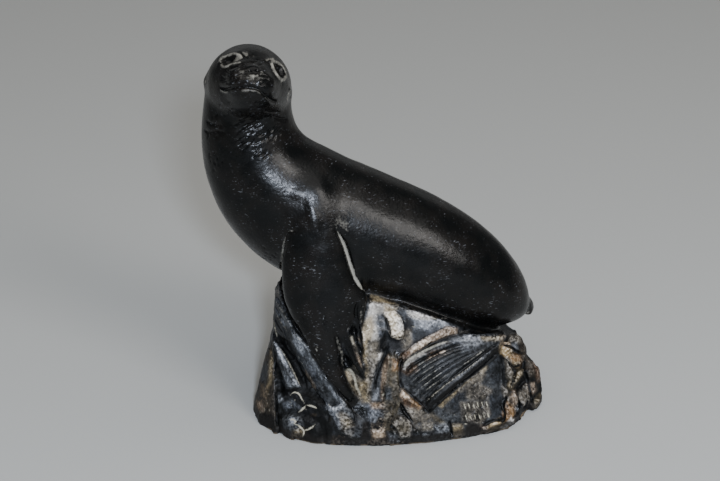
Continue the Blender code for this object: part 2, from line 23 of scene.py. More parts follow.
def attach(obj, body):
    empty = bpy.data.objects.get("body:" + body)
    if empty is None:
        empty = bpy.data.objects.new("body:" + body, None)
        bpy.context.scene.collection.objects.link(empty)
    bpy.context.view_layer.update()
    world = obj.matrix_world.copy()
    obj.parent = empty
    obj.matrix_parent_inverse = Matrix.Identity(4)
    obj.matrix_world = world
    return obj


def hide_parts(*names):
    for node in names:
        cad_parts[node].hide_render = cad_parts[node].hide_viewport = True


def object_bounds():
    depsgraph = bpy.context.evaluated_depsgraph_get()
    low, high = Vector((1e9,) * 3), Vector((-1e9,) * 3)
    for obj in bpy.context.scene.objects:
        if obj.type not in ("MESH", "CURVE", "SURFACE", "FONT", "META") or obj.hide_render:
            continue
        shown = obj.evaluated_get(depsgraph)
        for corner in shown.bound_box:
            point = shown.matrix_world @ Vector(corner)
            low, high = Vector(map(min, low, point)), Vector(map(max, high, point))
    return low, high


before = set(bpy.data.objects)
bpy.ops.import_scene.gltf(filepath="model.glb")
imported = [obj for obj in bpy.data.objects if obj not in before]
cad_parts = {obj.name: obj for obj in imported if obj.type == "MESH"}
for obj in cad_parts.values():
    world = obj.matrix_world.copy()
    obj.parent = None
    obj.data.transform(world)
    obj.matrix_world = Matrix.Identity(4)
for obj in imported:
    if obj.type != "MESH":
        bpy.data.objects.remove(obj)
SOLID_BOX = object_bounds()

LOG = logging.getLogger("carving")
MM = 0.001
NODE = "sea_lion_on_rock"

Point = tuple[float, float]
Adder = Callable[..., NodeSocket]
Sockets = dict[str, NodeSocket]


class Tint(Enum):
    """Colours of the stone, as they look in plain light."""

    JET = "#060707"
    UMBER_BLACK = "#12100e"
    CHARCOAL = "#17181a"
    NAVY = "#23262a"
    SLATE = "#323436"
    STEEL = "#4c4f54"
    ASH = "#63666a"
    MIST = "#85888d"
    PEARL = "#9d9992"
    SILVER = "#a5a297"
    BONE = "#9d917b"
    BISQUE = "#998670"
    LICHEN = "#6f634c"
    GREIGE = "#5c564c"
    MOSS = "#3f392d"
    SAND = "#5e5140"
    CLAY = "#6f5f4e"
    HONEY = "#84704c"
    AMBER = "#6a5030"
    OCHRE = "#6b5236"
    RUST = "#4a3828"
    PEAT = "#332d25"
    CHALK = "#a5a08f"

    @property
    def light(self) -> tuple[float, float, float, float]:
        """The colour in linear light."""
        return linear(self.value)


def linear(colour: str) -> tuple[float, float, float, float]:
    """Turns an sRGB hex colour to linear light.

    Args:
        colour: Six hex digits after a hash sign.

    Returns:
        Red, green, blue and an alpha of one.
    """
    parts = [int(colour[i:i + 2], 16) / 255 for i in (1, 3, 5)]
    light = [c / 12.92 if c <= 0.04045 else ((c + 0.055) / 1.055) ** 2.4 for c in parts]
    return (*light, 1.0)


def only(obj: Object) -> None:
    """Selects one object alone and makes it active.

    Args:
        obj: The object.
    """
    bpy.ops.object.select_all(action="DESELECT")
    obj.select_set(True)
    bpy.context.view_layer.objects.active = obj


def apply_modifier(obj: Object, kind: str, **settings: object) -> None:
    """Adds a modifier to an object and applies it.

    Args:
        obj: The object.
        kind: Type of the modifier.
        **settings: Its settings.
    """
    modifier = obj.modifiers.new(kind.lower(), kind)
    for name, value in settings.items():
        setattr(modifier, name, value)
    only(obj)
    bpy.ops.object.modifier_apply(modifier=modifier.name)


@dataclass(frozen=True)
class Sheet:
    """The front view that the strokes are drawn on. The camera looks through it.

    Attributes:
        aim: The point that the view is turned to.
        distance: From the eye to that point.
        rise: How far above level the eye stands, in degrees.
        lens: Focal length.
        sensor: Width of the sensor.
        across: Width of the sheet.
        down: Height of the sheet.
    """

    aim: tuple[float, float, float] = (-5.03, 2.06, 51.0)
    distance: float = 460.0
    rise: float = 25.0
    lens: float = 80.0
    sensor: float = 36.0
    across: float = 720.0
    down: float = 481.0

    @property
    def back(self) -> Vector:
        """Direction from the aim to the eye."""
        rise = math.radians(self.rise)
        return Vector((0, -math.cos(rise), math.sin(rise)))

    @property
    def upward(self) -> Vector:
        """Direction that is up on the sheet."""
        rise = math.radians(self.rise)
        return Vector((0, math.sin(rise), math.cos(rise)))

    @property
    def eye(self) -> Vector:
        """Where the eye stands, in metres."""
        return (Vector(self.aim) + self.back * self.distance) * MM

    @property
    def scale(self) -> float:
        """Points of the sheet for each unit of width over depth."""
        return self.across * self.lens / self.sensor

    def ray(self, across: float, down: float) -> Vector:
        """Direction of sight through a point of the sheet.

        Args:
            across: How far the point lies from the left.
            down: How far it lies from the top.

        Returns:
            The direction from the eye.
        """
        right = (across - self.across / 2) / self.scale
        up = (self.down / 2 - down) / self.scale
        return (self.upward * up + Vector((right, 0, 0)) - self.back).normalized()

    def drawn(self, places: np.ndarray) -> np.ndarray:
        """Where places in space fall on the sheet.

        Args:
            places: Rows of x, y and z in metres.

        Returns:
            Rows of across and down.
        """
        gap = places - np.array(self.eye)
        depth = gap @ -np.array(self.back)
        across = self.across / 2 + self.scale * gap[:, 0] / depth
        down = self.down / 2 - self.scale * (gap @ np.array(self.upward)) / depth
        return np.stack((across, down), axis=1)

    def camera(self) -> None:
        """Sets up the camera at the eye."""
        turn = (math.radians(90 - self.rise), 0, 0)
        bpy.ops.object.camera_add(location=self.eye, rotation=turn)
        camera = bpy.context.object
        camera.name = "camera"
        camera.data.lens = self.lens
        camera.data.sensor_width = self.sensor
        camera.data.clip_start = 0.01
        bpy.context.scene.camera = camera


@dataclass(frozen=True)
class Cut:
    """One stroke of the chisel.

    Attributes:
        points: The stroke, drawn on the sheet.
        half: Half its width.
        depth: How deep it cuts. A negative depth raises the stone.
        dust: How much pale paint it holds: dusting in a groove, and painted highlight on a raised
        stroke. A negative amount wipes it dark: painted shade in the deep valleys and under the
        toe, and dark marks of their own such as the pupils.
        taper: Share of its length over which each end runs out.
        far: Whether it lies on the far side, as a mirror image.
    """

    points: tuple[Point, ...]
    half: float
    depth: float
    dust: float = 0.0
    taper: float = 0.15
    far: bool = False


def flowing(points: tuple[Point, ...], gap: float = 1.5) -> list[Point]:
    """Runs a smooth line through drawn points.

    Args:
        points: The points, in order.
        gap: Distance between the points that come back.

    Returns:
        Closely spaced points along the line.
    """
    knots = [Vector(p) for p in points]
    knots = [knots[0] * 2 - knots[1], *knots, knots[-1] * 2 - knots[-2]]
    line = []
    for a, b, c, d in zip(knots, knots[1:], knots[2:], knots[3:]):
        count = max(1, round((c - b).length / gap))
        for i in range(count):
            t = i / count
            line.append(
                0.5 * (2 * b + (c - a) * t + (2 * a - 5 * b + 4 * c - d) * t ** 2
                       + (3 * b - a - 3 * c + d) * t ** 3)
            )
    return [tuple(p) for p in line] + [tuple(knots[-2])]


def hatch(
    seed: int, middle: Point, reach: Point, along: Point, count: int, length: float, **cut: float
) -> list[Cut]:
    """Scatters short strokes that run about the same way.

    Args:
        seed: Seed of the scatter.
        middle: Middle of the field on the sheet.
        reach: Half its width and half its height.
        along: Direction of the strokes on the sheet.
        count: How many strokes.
        length: Length of a stroke on the sheet.
        **cut: Half width, depth and dust of each stroke.

    Returns:
        The strokes.
    """
    chance = random.Random(seed)
    way = Vector(along).normalized()
    cuts = []
    for _ in range(count):
        turn, far = chance.uniform(0, math.tau), math.sqrt(chance.random())
        x = middle[0] + reach[0] * far * math.cos(turn)
        y = middle[1] + reach[1] * far * math.sin(turn)
        half = way * length * chance.uniform(0.3, 0.7)
        bend = Vector((-way.y, way.x)) * chance.uniform(-0.2, 0.2) * length
        points = ((x - half.x, y - half.y), (x + bend.x, y + bend.y), (x + half.x, y + half.y))
        cuts.append(Cut(points, taper=0.4, **cut))
    return cuts


def hatched(*fields: tuple[int, Point, Point, Point, int, float], **cut: float) -> list[Cut]:
    """Scatters strokes of one kind over several fields."""
    return [made for row in fields for made in hatch(*row, **cut)]


@dataclass(frozen=True)
class Face:
    """The cut marks of the head and neck.

    Attributes:
        line: Half width of a whisker or scratch.
    """

    line: float = 0.4

    def eyes(self) -> list[Cut]:
        """Both eyes: a shallow socket, a pale ring and a dark slit of a pupil.

        Returns:
            The strokes, in the order that they are cut.
        """
        left = (
            (221, 62.4), (219.8, 60.4), (221.4, 57.6), (225.4, 56), (230.4, 54.2), (235, 53.4),
            (239.4, 55), (241.8, 59))
        lid = ((220.6, 63.6), (222.6, 66.4), (226.4, 66.4), (230.4, 64.4), (235, 63), (241.4, 62))
        right = (
            (271.6, 62.2), (275.5, 61.4), (279.6, 63.4), (283, 67.4), (285.6, 72.4), (286, 77),
            (283.6, 79.6), (280, 78.2), (276.4, 74.4), (273, 68.4), (271.6, 62.2))
        return [
            Cut(((223, 61.5), (231, 59.4), (240, 57.5)), 3.2, 0.5),
            Cut(((275, 65), (279, 70), (283, 76)), 3.0, 0.45),
            Cut(((235.4, 61), (237.4, 58.4), (239.4, 56.8)), 1.8, -0.3, 0.6, 0.2),
            Cut(left, 0.7, -0.3, 0.52, 0.05),
            Cut(lid, 0.65, -0.3, 0.52, 0.05),
            Cut(right, 0.8, -0.28, 0.52, 0.0),
            Cut(((272.4, 63), (274.6, 68.6), (278, 75)), 0.8, -0.15, 0.45, 0.1),
            Cut(((224.6, 63), (228.4, 60.6), (231.8, 58)), 0.8, 0.35, -1.6, 0.3),
            Cut(((279.6, 66.4), (281.2, 70.6), (283, 75.6)), 0.66, 0.45, -2.4, 0.3),
            Cut(((281, 81), (281.6, 87)), 1.0, 0.1, 0.32, 0.3),
        ]

    def brows(self) -> list[Cut]:
        """The strokes above the eyes.

        Returns:
            The strokes, in the order that they are cut.
        """
        return [
            Cut(((264, 61.2), (268, 59.4), (274.4, 58.6)), 0.6, -0.25, 0.45),
            Cut(((241.4, 52), (244, 53.6), (247.6, 56)), 0.8, -0.2, 0.5),
            Cut(((246.4, 51.6), (247.6, 55)), 0.5, -0.15, 0.3),
            Cut(((246, 59), (250, 57.2), (255, 55.2)), 0.4, 0.25, 0.2),
            Cut(((239.6, 51), (243, 55), (245, 61)), 0.4, 0.25, -0.3),
        ]

    def nose(self) -> list[Cut]:
        """The nose, the muzzle's two pads and the groove between them, with painted highlight: the
        pale of the wide haze and of the raised marks on the muzzle.

        Returns:
            The strokes, in the order that they are cut.
        """
        return [
            # Painted highlight: a wide pale haze over the front of the muzzle, with no cut.
            Cut(((229, 74), (248, 72), (267, 78)), 3.4, 0.0, 0.26, 0.2),
            Cut(((231, 76.5), (238, 78), (245, 80.5)), 4.2, -0.7),
            Cut(((257, 81), (264, 80.5), (271, 84)), 4.0, -0.65),
            Cut(((249.4, 68.6), (256.6, 68.4)), 2.4, -0.45, -1.0, 0.3),
            Cut(((248.8, 70.4), (251.2, 72.2)), 0.55, 0.6, -1.0, 0.3),
            Cut(((255.8, 71.8), (258.4, 69.8)), 0.55, 0.6, -1.0, 0.3),
            # Raised marks of the muzzle; their pale is painted highlight.
            Cut(((250.4, 74), (252, 76.8), (251.6, 81)), 0.8, -0.3, 0.28, 0.4),
            Cut(((242.6, 82.2), (246.4, 81.2), (250, 80)), 0.8, -0.2, 0.1, 0.4),
            Cut(((255, 81.6), (259, 81.8), (263.6, 79.6)), 0.9, -0.25, 0.2, 0.4),
            Cut(((256.6, 77.4), (260.4, 77)), 0.8, -0.2, 0.12, 0.4),
            Cut(((247.6, 83.4), (251, 84), (255, 84.4)), 0.5, -0.25, 0.2, 0.4),
        ]

    def mouth(self) -> list[Cut]:
        """The mouth, and a painted highlight along the raised edge of the lower lip.

        Returns:
            The strokes, in the order that they are cut.
        """
        mouth = (
            (219.4, 86), (221.6, 88.6), (225.5, 89.6), (229, 88.8), (232, 87.8), (236, 87),
            (241, 87.2), (248, 87.6), (254, 88.4), (259.6, 90.6), (264, 94.6), (268, 98),
            (272, 100.8), (276.4, 102.2))
        return [
            Cut(((222, 99), (240, 101), (262, 104)), 3.4, 0.35),
            Cut(mouth, 0.6, 0.6, -0.4, 0.06),
            # Raised strokes of the lips; their pale is painted highlight.
            Cut(((219.6, 89), (222.4, 91.6), (225.6, 92.4), (229.6, 91.4)), 0.5, -0.2, 0.5),
            Cut(((239.6, 91.4), (244, 90.4), (252, 90), (258, 91.4), (262, 93)), 0.9, -0.4, 0.36),
            Cut(((263, 96.6), (267, 98.6), (270.6, 100.4)), 0.45, -0.15, 0.35),
            Cut(((273, 101.6), (275, 102)), 0.6, -0.15, 0.4, 0.3),
        ]

    def whiskers(self) -> list[Cut]:
        """Scratched whiskers, three rows on each side of the muzzle.

        Returns:
            The strokes, in the order that they are cut.
        """
        rows = (
            ((220.4, 75), (224, 78.4), (230, 77), (238, 71.6)),
            ((224, 69.6), (229, 73.4), (235, 72), (241.6, 68.4)),
            ((226, 83.8), (232, 82.2), (240, 79.4)),
            ((232, 85.6), (240, 84), (247.6, 82)),
            ((220.8, 80), (226, 80.8), (231.6, 79)),
            ((229, 69), (236, 67), (243.4, 65.6)),
            ((244, 64.6), (250, 63.2), (257, 61.4)),
            ((236, 75.8), (242, 73.8), (247, 75.6)),
            ((257.6, 77.4), (262, 75.2), (267, 76.8)),
            ((257, 82), (262.4, 79.8), (269, 81)),
            ((258.6, 85.6), (265, 83.6), (272, 86)),
        )
        return [Cut(row, self.line, 0.34, -0.3) for row in rows]

    def ears(self) -> list[Cut]:
        """The small curled ears at the sides of the head.

        Returns:
            The strokes, in the order that they are cut.
        """
        return [
            Cut(((288.6, 88), (290.6, 93), (289.6, 100)), 0.7, -0.35, 0.3),
            Cut(((288.6, 92), (288.2, 96), (286.8, 101)), 0.5, 0.4, 0.6),
            Cut(((205.2, 79.6), (205.8, 83.6)), 0.5, -0.2, 0.6),
        ]

    def neck(self) -> list[Cut]:
        """Folds and tool marks of the throat.

        Returns:
            The strokes, in the order that they are cut.
        """
        folds = (
            ((203.8, 130), (209, 132), (217, 131.4), (227, 133)),
            ((238, 129), (250, 124.4), (260, 120.4), (269, 116.6)),
            ((272, 115.8), (279, 118.6), (288, 119.2)),
            ((236, 146.6), (246, 141.8), (256, 137.4)),
            ((206, 121), (213, 124), (222, 125)),
            ((262, 110), (271, 112.6), (281, 112)),
        )
        cuts = [Cut(fold, 0.55, 0.3, 0.04) for fold in folds]
        cuts += hatched(
            (3, (250, 128), (13, 8), (-0.9, 0.42), 14, 14),
            (4, (269, 133), (14, 10), (-0.8, 0.6), 14, 8),
            (5, (248, 143), (11, 6), (-0.88, 0.42), 9, 12),
            (7, (262, 153), (11, 6), (-0.7, 0.6), 10, 6), half=0.5, depth=0.28, dust=0.05)
        cuts += hatched(
            (6, (214, 126), (9, 14), (-0.4, 1), 10, 6),
            (9, (216, 160), (8, 12), (-0.3, 1), 10, 5),
            (8, (240, 108), (26, 10), (-1, 0.2), 14, 5),
            (14, (246, 66), (22, 12), (-1, 0.25), 16, 5), half=0.4, depth=0.2, dust=0.06)
        # Raised tool marks over the muzzle; their pale is painted glints.
        return cuts + hatched(
            (15, (252, 76), (14, 6), (-1, -0.2), 10, 4), half=0.4, depth=-0.2, dust=0.2)

    def cuts(self) -> list[Cut]:
        """Every stroke of the head, broad ones first."""
        return (self.nose() + self.eyes() + self.brows() + self.mouth() + self.whiskers()
                + self.ears() + self.neck())


@dataclass(frozen=True)
class Flippers:
    """The cut marks of the fore and hind flippers.

    Attributes:
        ankle: Where the rays of the hind flipper meet, on the sheet.
        ribs: Where its fine ribs end.
    """

    ankle: Point = (500, 342)
    ribs: tuple[Point, ...] = (
        (402.4, 377), (402.6, 381.5), (404, 386), (407.6, 390), (411.6, 393.4), (415.6, 396.6),
        (419.4, 399.6))

    def arm(self) -> list[Cut]:
        """The grooves that part the near arm from the chest and the rock, and its wrist, with a
        painted glint on the knuckle and a painted sheen right of the shoulder.

        Returns:
            The strokes, in the order that they are cut.
        """
        cuts = [
            Cut(((297, 231), (290, 231), (286, 234)), 0.45, 0.3, 0.4, 0.4),
            Cut(((288, 232), (284.6, 240), (282.6, 252), (281.4, 266), (281, 281)), 0.55, 0.6, 0.5),
            Cut(((281, 281), (285, 304), (292, 322), (305, 343), (322, 371.4), (337, 391.6),
                 (350, 404)), 0.9, 0.9, -0.3, 0.05),
            Cut(((335, 225), (337.6, 232), (343.6, 243), (348, 256), (352.6, 270), (358, 283),
                 (366.4, 293)), 1.0, 0.9, 0.0, 0.12),
            Cut(((336, 228), (343.4, 243), (347.8, 256), (352.4, 270), (357.8, 283),
                 (366.2, 293)), 0.62, 0.1, 1.0, 0.2),
            # A raised knuckle; its pale is a painted glint.
            Cut(((347, 329), (349, 330)), 1.3, -0.35, 0.3, 0.3),
            Cut(((307, 198), (312, 212), (316, 228), (318, 242)), 2.6, -0.35, 0.0, 0.5),
            Cut(((294, 197), (300, 190)), 2.4, -0.16, 0.0, 0.5),
            # No cut, only pale: a painted sheen right of the shoulder.
            Cut(((333, 218), (341, 223), (350, 230)), 2.2, 0.0, 0.36, 0.3),
            Cut(((254, 156), (262, 152)), 2.2, -0.16, 0.0, 0.5),
        ]
        return cuts + hatched(
            (11, (338, 318), (18, 14), (0.8, -0.6), 16, 4),
            (12, (267, 254), (9, 9), (0.9, 0.3), 12, 4),
            (13, (300, 300), (16, 40), (1, 0.1), 10, 4), half=0.36, depth=0.2, dust=0.14)

    def digits(self) -> list[Cut]:
        """The short digits behind the long one.

        Returns:
            The strokes, in the order that they are cut.
        """
        return [
            Cut(((335.4, 333), (338.4, 344), (341.6, 354), (342.6, 364), (344.4, 372)), 0.9, 0.6, 0.34),
            Cut(((341, 333), (347, 348), (354, 362), (363, 378)), 0.8, -0.3, -0.6),
            Cut(((349, 334), (353.6, 346), (358, 356), (362, 368)), 0.8, 0.7, 0.2),
            Cut(((358.6, 300), (356.4, 312), (358.6, 328), (362, 348)), 0.9, 0.8, -0.7),
            Cut(((363.6, 303), (361, 314), (362.4, 328)), 0.8, 0.3, 0.3),
            Cut(((368.4, 299), (366.6, 309), (364.4, 320), (365, 333)), 0.8, 0.6, -0.3),
            Cut(((345, 371), (350, 370), (354, 376), (357, 388), (362, 398)), 0.8, 0.5, 0.5),
        ]

    def fan(self) -> list[Cut]:
        """The hind flipper: a rim, fine ribs and a long thick toe. The pale on the rim, on the ribs'
        raised edges and along the top of the toe is painted highlight, and the groove under the toe
        is wiped dark as painted shadow.

        Returns:
            The strokes, in the order that they are cut.
        """
        toe = ((425, 407), (438, 395.6), (456, 382), (474, 368), (495, 351))
        above = ((423.6, 401), (435, 390.6), (451, 378), (469, 364.6), (487, 351), (499, 343))
        groove_and_shadow_below = ((427, 414), (449, 394), (472, 374.4), (499, 354))
        second = ((430, 392.6), (440, 383.6), (456, 371), (472, 359), (488, 347))
        cuts = [
            # The raised rim; its pale is painted highlight.
            Cut(((402.6, 371), (405.6, 363), (413, 356.6), (424, 351), (437, 345), (452, 340)),
                0.6, -0.45, 0.55),
            Cut(((405, 375), (409, 367.6), (418, 361), (431, 354.6), (447, 348), (464, 342)),
                0.75, 0.75, -0.7),
            Cut(toe, 1.5, -0.6),
            Cut(above, 0.6, 0.9, -1.0, 0.05),
            # A pale line along the top of the toe: painted highlight.
            Cut(tuple((x + 0.8, y + 2.2) for x, y in above[:-1]), 0.3, -0.25, 0.6),
            # The groove under the toe, wiped dark: painted shadow.
            Cut(groove_and_shadow_below, 0.9, 1.3, -1.0, 0.05),
            Cut(second, 0.5, -0.45, 0.4),
            Cut(((402, 357), (399, 368), (401, 386), (410, 395), (421, 405), (427, 413)),
                0.7, 0.8, -0.4, 0.05),
        ]
        start = Vector(self.ankle)
        for n, tip in enumerate(self.ribs):
            end = Vector(tip)
            bow = Vector((-0.06, -0.1)) * (len(self.ribs) - n)
            way = [start.lerp(end, share) + bow * 60 * share * (1 - share)
                   for share in (0.25, 0.45, 0.65, 0.85, 1.0)]
            cuts.append(Cut(tuple(tuple(p) for p in way), 0.42, 0.5, -0.9, 0.3))
            # The raised edge of each rib; its pale is painted glints.
            edge = tuple((p.x + 0.6, p.y + 1.9) for p in way[1:])
            cuts.append(Cut(edge, 0.36, -0.3, 0.42, 0.4))
        return cuts

    def tail(self) -> list[Cut]:
        """The end of the tail, with a pale spot on its inside.

        Returns:
            The strokes, in the order that they are cut.
        """
        return [
            Cut(((530, 303), (530.6, 310), (528.6, 315)), 1.4, -0.35),
            Cut(((522, 318), (526, 315), (529, 311)), 0.7, 0.3, 0.7, 0.3),
        ]

    def cuts(self) -> list[Cut]:
        """Every stroke of the flippers and the tail, and fewer on the far side."""
        far = [replace(cut, far=True, dust=0.0) for cut in self.arm()[1:4] + self.fan()]
        return self.arm() + self.digits() + self.fan() + self.tail() + far


@dataclass(frozen=True)
class RockMarks:
    """The cut marks of the rock.

    Attributes:
        crack: Half width of a crack.
    """

    crack: float = 0.38

    def ridges(self) -> list[Cut]:
        """The edges of the long flat ridges under the chest, and the valleys between them, wiped dark
        as painted shade.

        Returns:
            The strokes, in the order that they are cut.
        """
        return [
            Cut(((274, 294), (282, 305), (291, 322), (305, 343)), 0.5, 0.5, -0.4),
            Cut(((271, 299), (278, 312), (286, 327)), 0.5, 0.45, -0.3),
            Cut(((274, 299), (281, 309), (289, 322), (295, 331)), 0.45, -0.35, 0.4),
            Cut(((275, 311), (281, 322), (289, 334)), 0.4, -0.3, 0.4),
            Cut(((279, 299), (284, 307), (290, 318)), 0.35, -0.2, 0.3),
            Cut(((273, 316), (279, 327), (284, 334)), 0.4, 0.5, -0.8),
            Cut(((271, 303), (273.4, 320), (277.4, 338)), 0.45, -0.3, 0.6),
            Cut(((292, 331), (305, 345.6), (322, 371), (337, 393.4), (346, 405)),
                0.45, -0.4, 0.42, 0.1),
            Cut(((326, 400), (334, 412), (346, 426), (352, 434)), 0.6, -0.3, 0.3),
            # A deep valley wiped dark: painted shade.
            Cut(((282, 333), (291, 352), (303, 374), (316, 393), (330, 411)), 0.8, 0.9, -0.8),
            Cut(((275, 343), (283.6, 354), (292, 369), (301, 388)), 0.4, -0.4, 0.55),
            Cut(((278, 354), (283, 368), (287, 383)), 0.35, 0.3, -0.5),
            # A deep valley wiped dark: painted shade.
            Cut(((279, 342), (290, 356), (300, 373), (307, 388)), 0.9, 0.9, -0.9),
            Cut(((274, 343), (275.4, 365), (276, 395), (277, 427)), 0.8, 1.1, -1.0, 0.05),
            Cut(((296, 352), (306, 370), (317, 386)), 0.5, 0.25, 0.25),
        ]

    def cracks(self) -> list[Cut]:
        """Cracks with pale dust in them, and the dark ones between stones.

        Returns:
            The strokes, in the order that they are cut.
        """
        pale = (
            ((289, 396), (294, 392.4), (299, 394), (303, 401), (306, 405)),
            ((306, 405), (312, 406), (318, 408.4)),
            ((306, 405), (301.6, 410), (297.6, 413)),
            ((289, 421), (292, 419.4), (296, 421.4), (293, 423.6)),
            ((292, 423), (298, 425.4), (304, 431), (302, 438)),
            ((304, 431), (311, 428), (317, 423)),
        )
        dark = (
            ((388, 342), (386, 352), (382, 362), (377, 376), (374, 396)),
            ((385, 316), (388, 326), (391, 334)),
            ((400, 402), (404, 411), (410, 418), (413, 425)),
            ((389, 424), (395, 430), (399, 438)),
            ((449, 420), (451, 428), (452, 437)),
            ((502, 344), (511, 347), (519, 353), (527, 352)),
            ((504, 357), (513, 366.4), (522, 364)),
            ((511, 366), (515, 376), (509, 390)),
            ((526, 379), (517, 391), (520, 398)),
            ((525, 356), (524, 370), (529, 386), (532, 400), (536, 410)),
            ((510, 393), (503, 404), (505, 416), (500, 427)),
            ((518, 396), (519, 410), (511, 421)),
            ((528, 398), (524, 412)),
            ((480, 427), (493, 420.6), (504, 420)),
        )
        cuts = [Cut(way, self.crack, 0.25, 0.9, 0.3) for way in pale]
        cuts += [Cut(way, 0.75, 1.0, -0.9, 0.2) for way in dark]
        return cuts

    def scored_rows(self) -> list[Cut]:
        """Two rows of plain shallow ticks on the smooth plane at the lower right.

        Returns:
            The strokes, in the order that they are cut.
        """
        cuts = []
        for row in range(2):
            for n in range(6):
                x, y = 463.5 + 4.4 * n + 1.5 * row, 402.5 + 11.5 * row - 0.5 * n
                cuts.append(Cut(((x, y), (x + 2.4, y + 7.4)), 0.3, 0.25, 0.75, 0.3))
        return cuts

    def tooling(self) -> list[Cut]:
        """Chisel and rasp marks on the planes.

        Returns:
            The strokes, in the order that they are cut.
        """
        faint = hatched(
            (21, (474, 382), (22, 12), (0.75, -0.65), 12, 8), half=0.5, depth=0.2, dust=0.15)
        return faint + hatched(
            (22, (424, 321), (26, 8), (0.95, 0.3), 18, 6),
            (23, (314, 372), (16, 30), (0.6, 0.8), 16, 5),
            (24, (300, 415), (22, 18), (0.8, 0.4), 16, 5),
            (25, (265, 390), (8, 34), (0.1, 1), 14, 8),
            (26, (390, 372), (12, 34), (-0.2, 1), 20, 7),
            (27, (440, 421), (30, 9), (0.9, -0.4), 14, 5), half=0.42, depth=0.24, dust=0.3)

    def cuts(self) -> list[Cut]:
        """Every stroke of the rock."""
        return self.ridges() + self.cracks() + self.scored_rows() + self.tooling()


@dataclass(frozen=True)
class Facet:
    """A flat or a stone of the rock, drawn by its outline.

    Attributes:
        outline: Its corners on the sheet.
        tint: Its colour.
        cover: How much of the stone its colour covers, 0 to 1.
        rise: How far it stands out. A negative rise cuts it in.
        soft: Half width of its edge on the sheet.
    """

    outline: tuple[Point, ...]
    tint: Tint
    cover: float
    rise: float = 0.0
    soft: float = 1.8


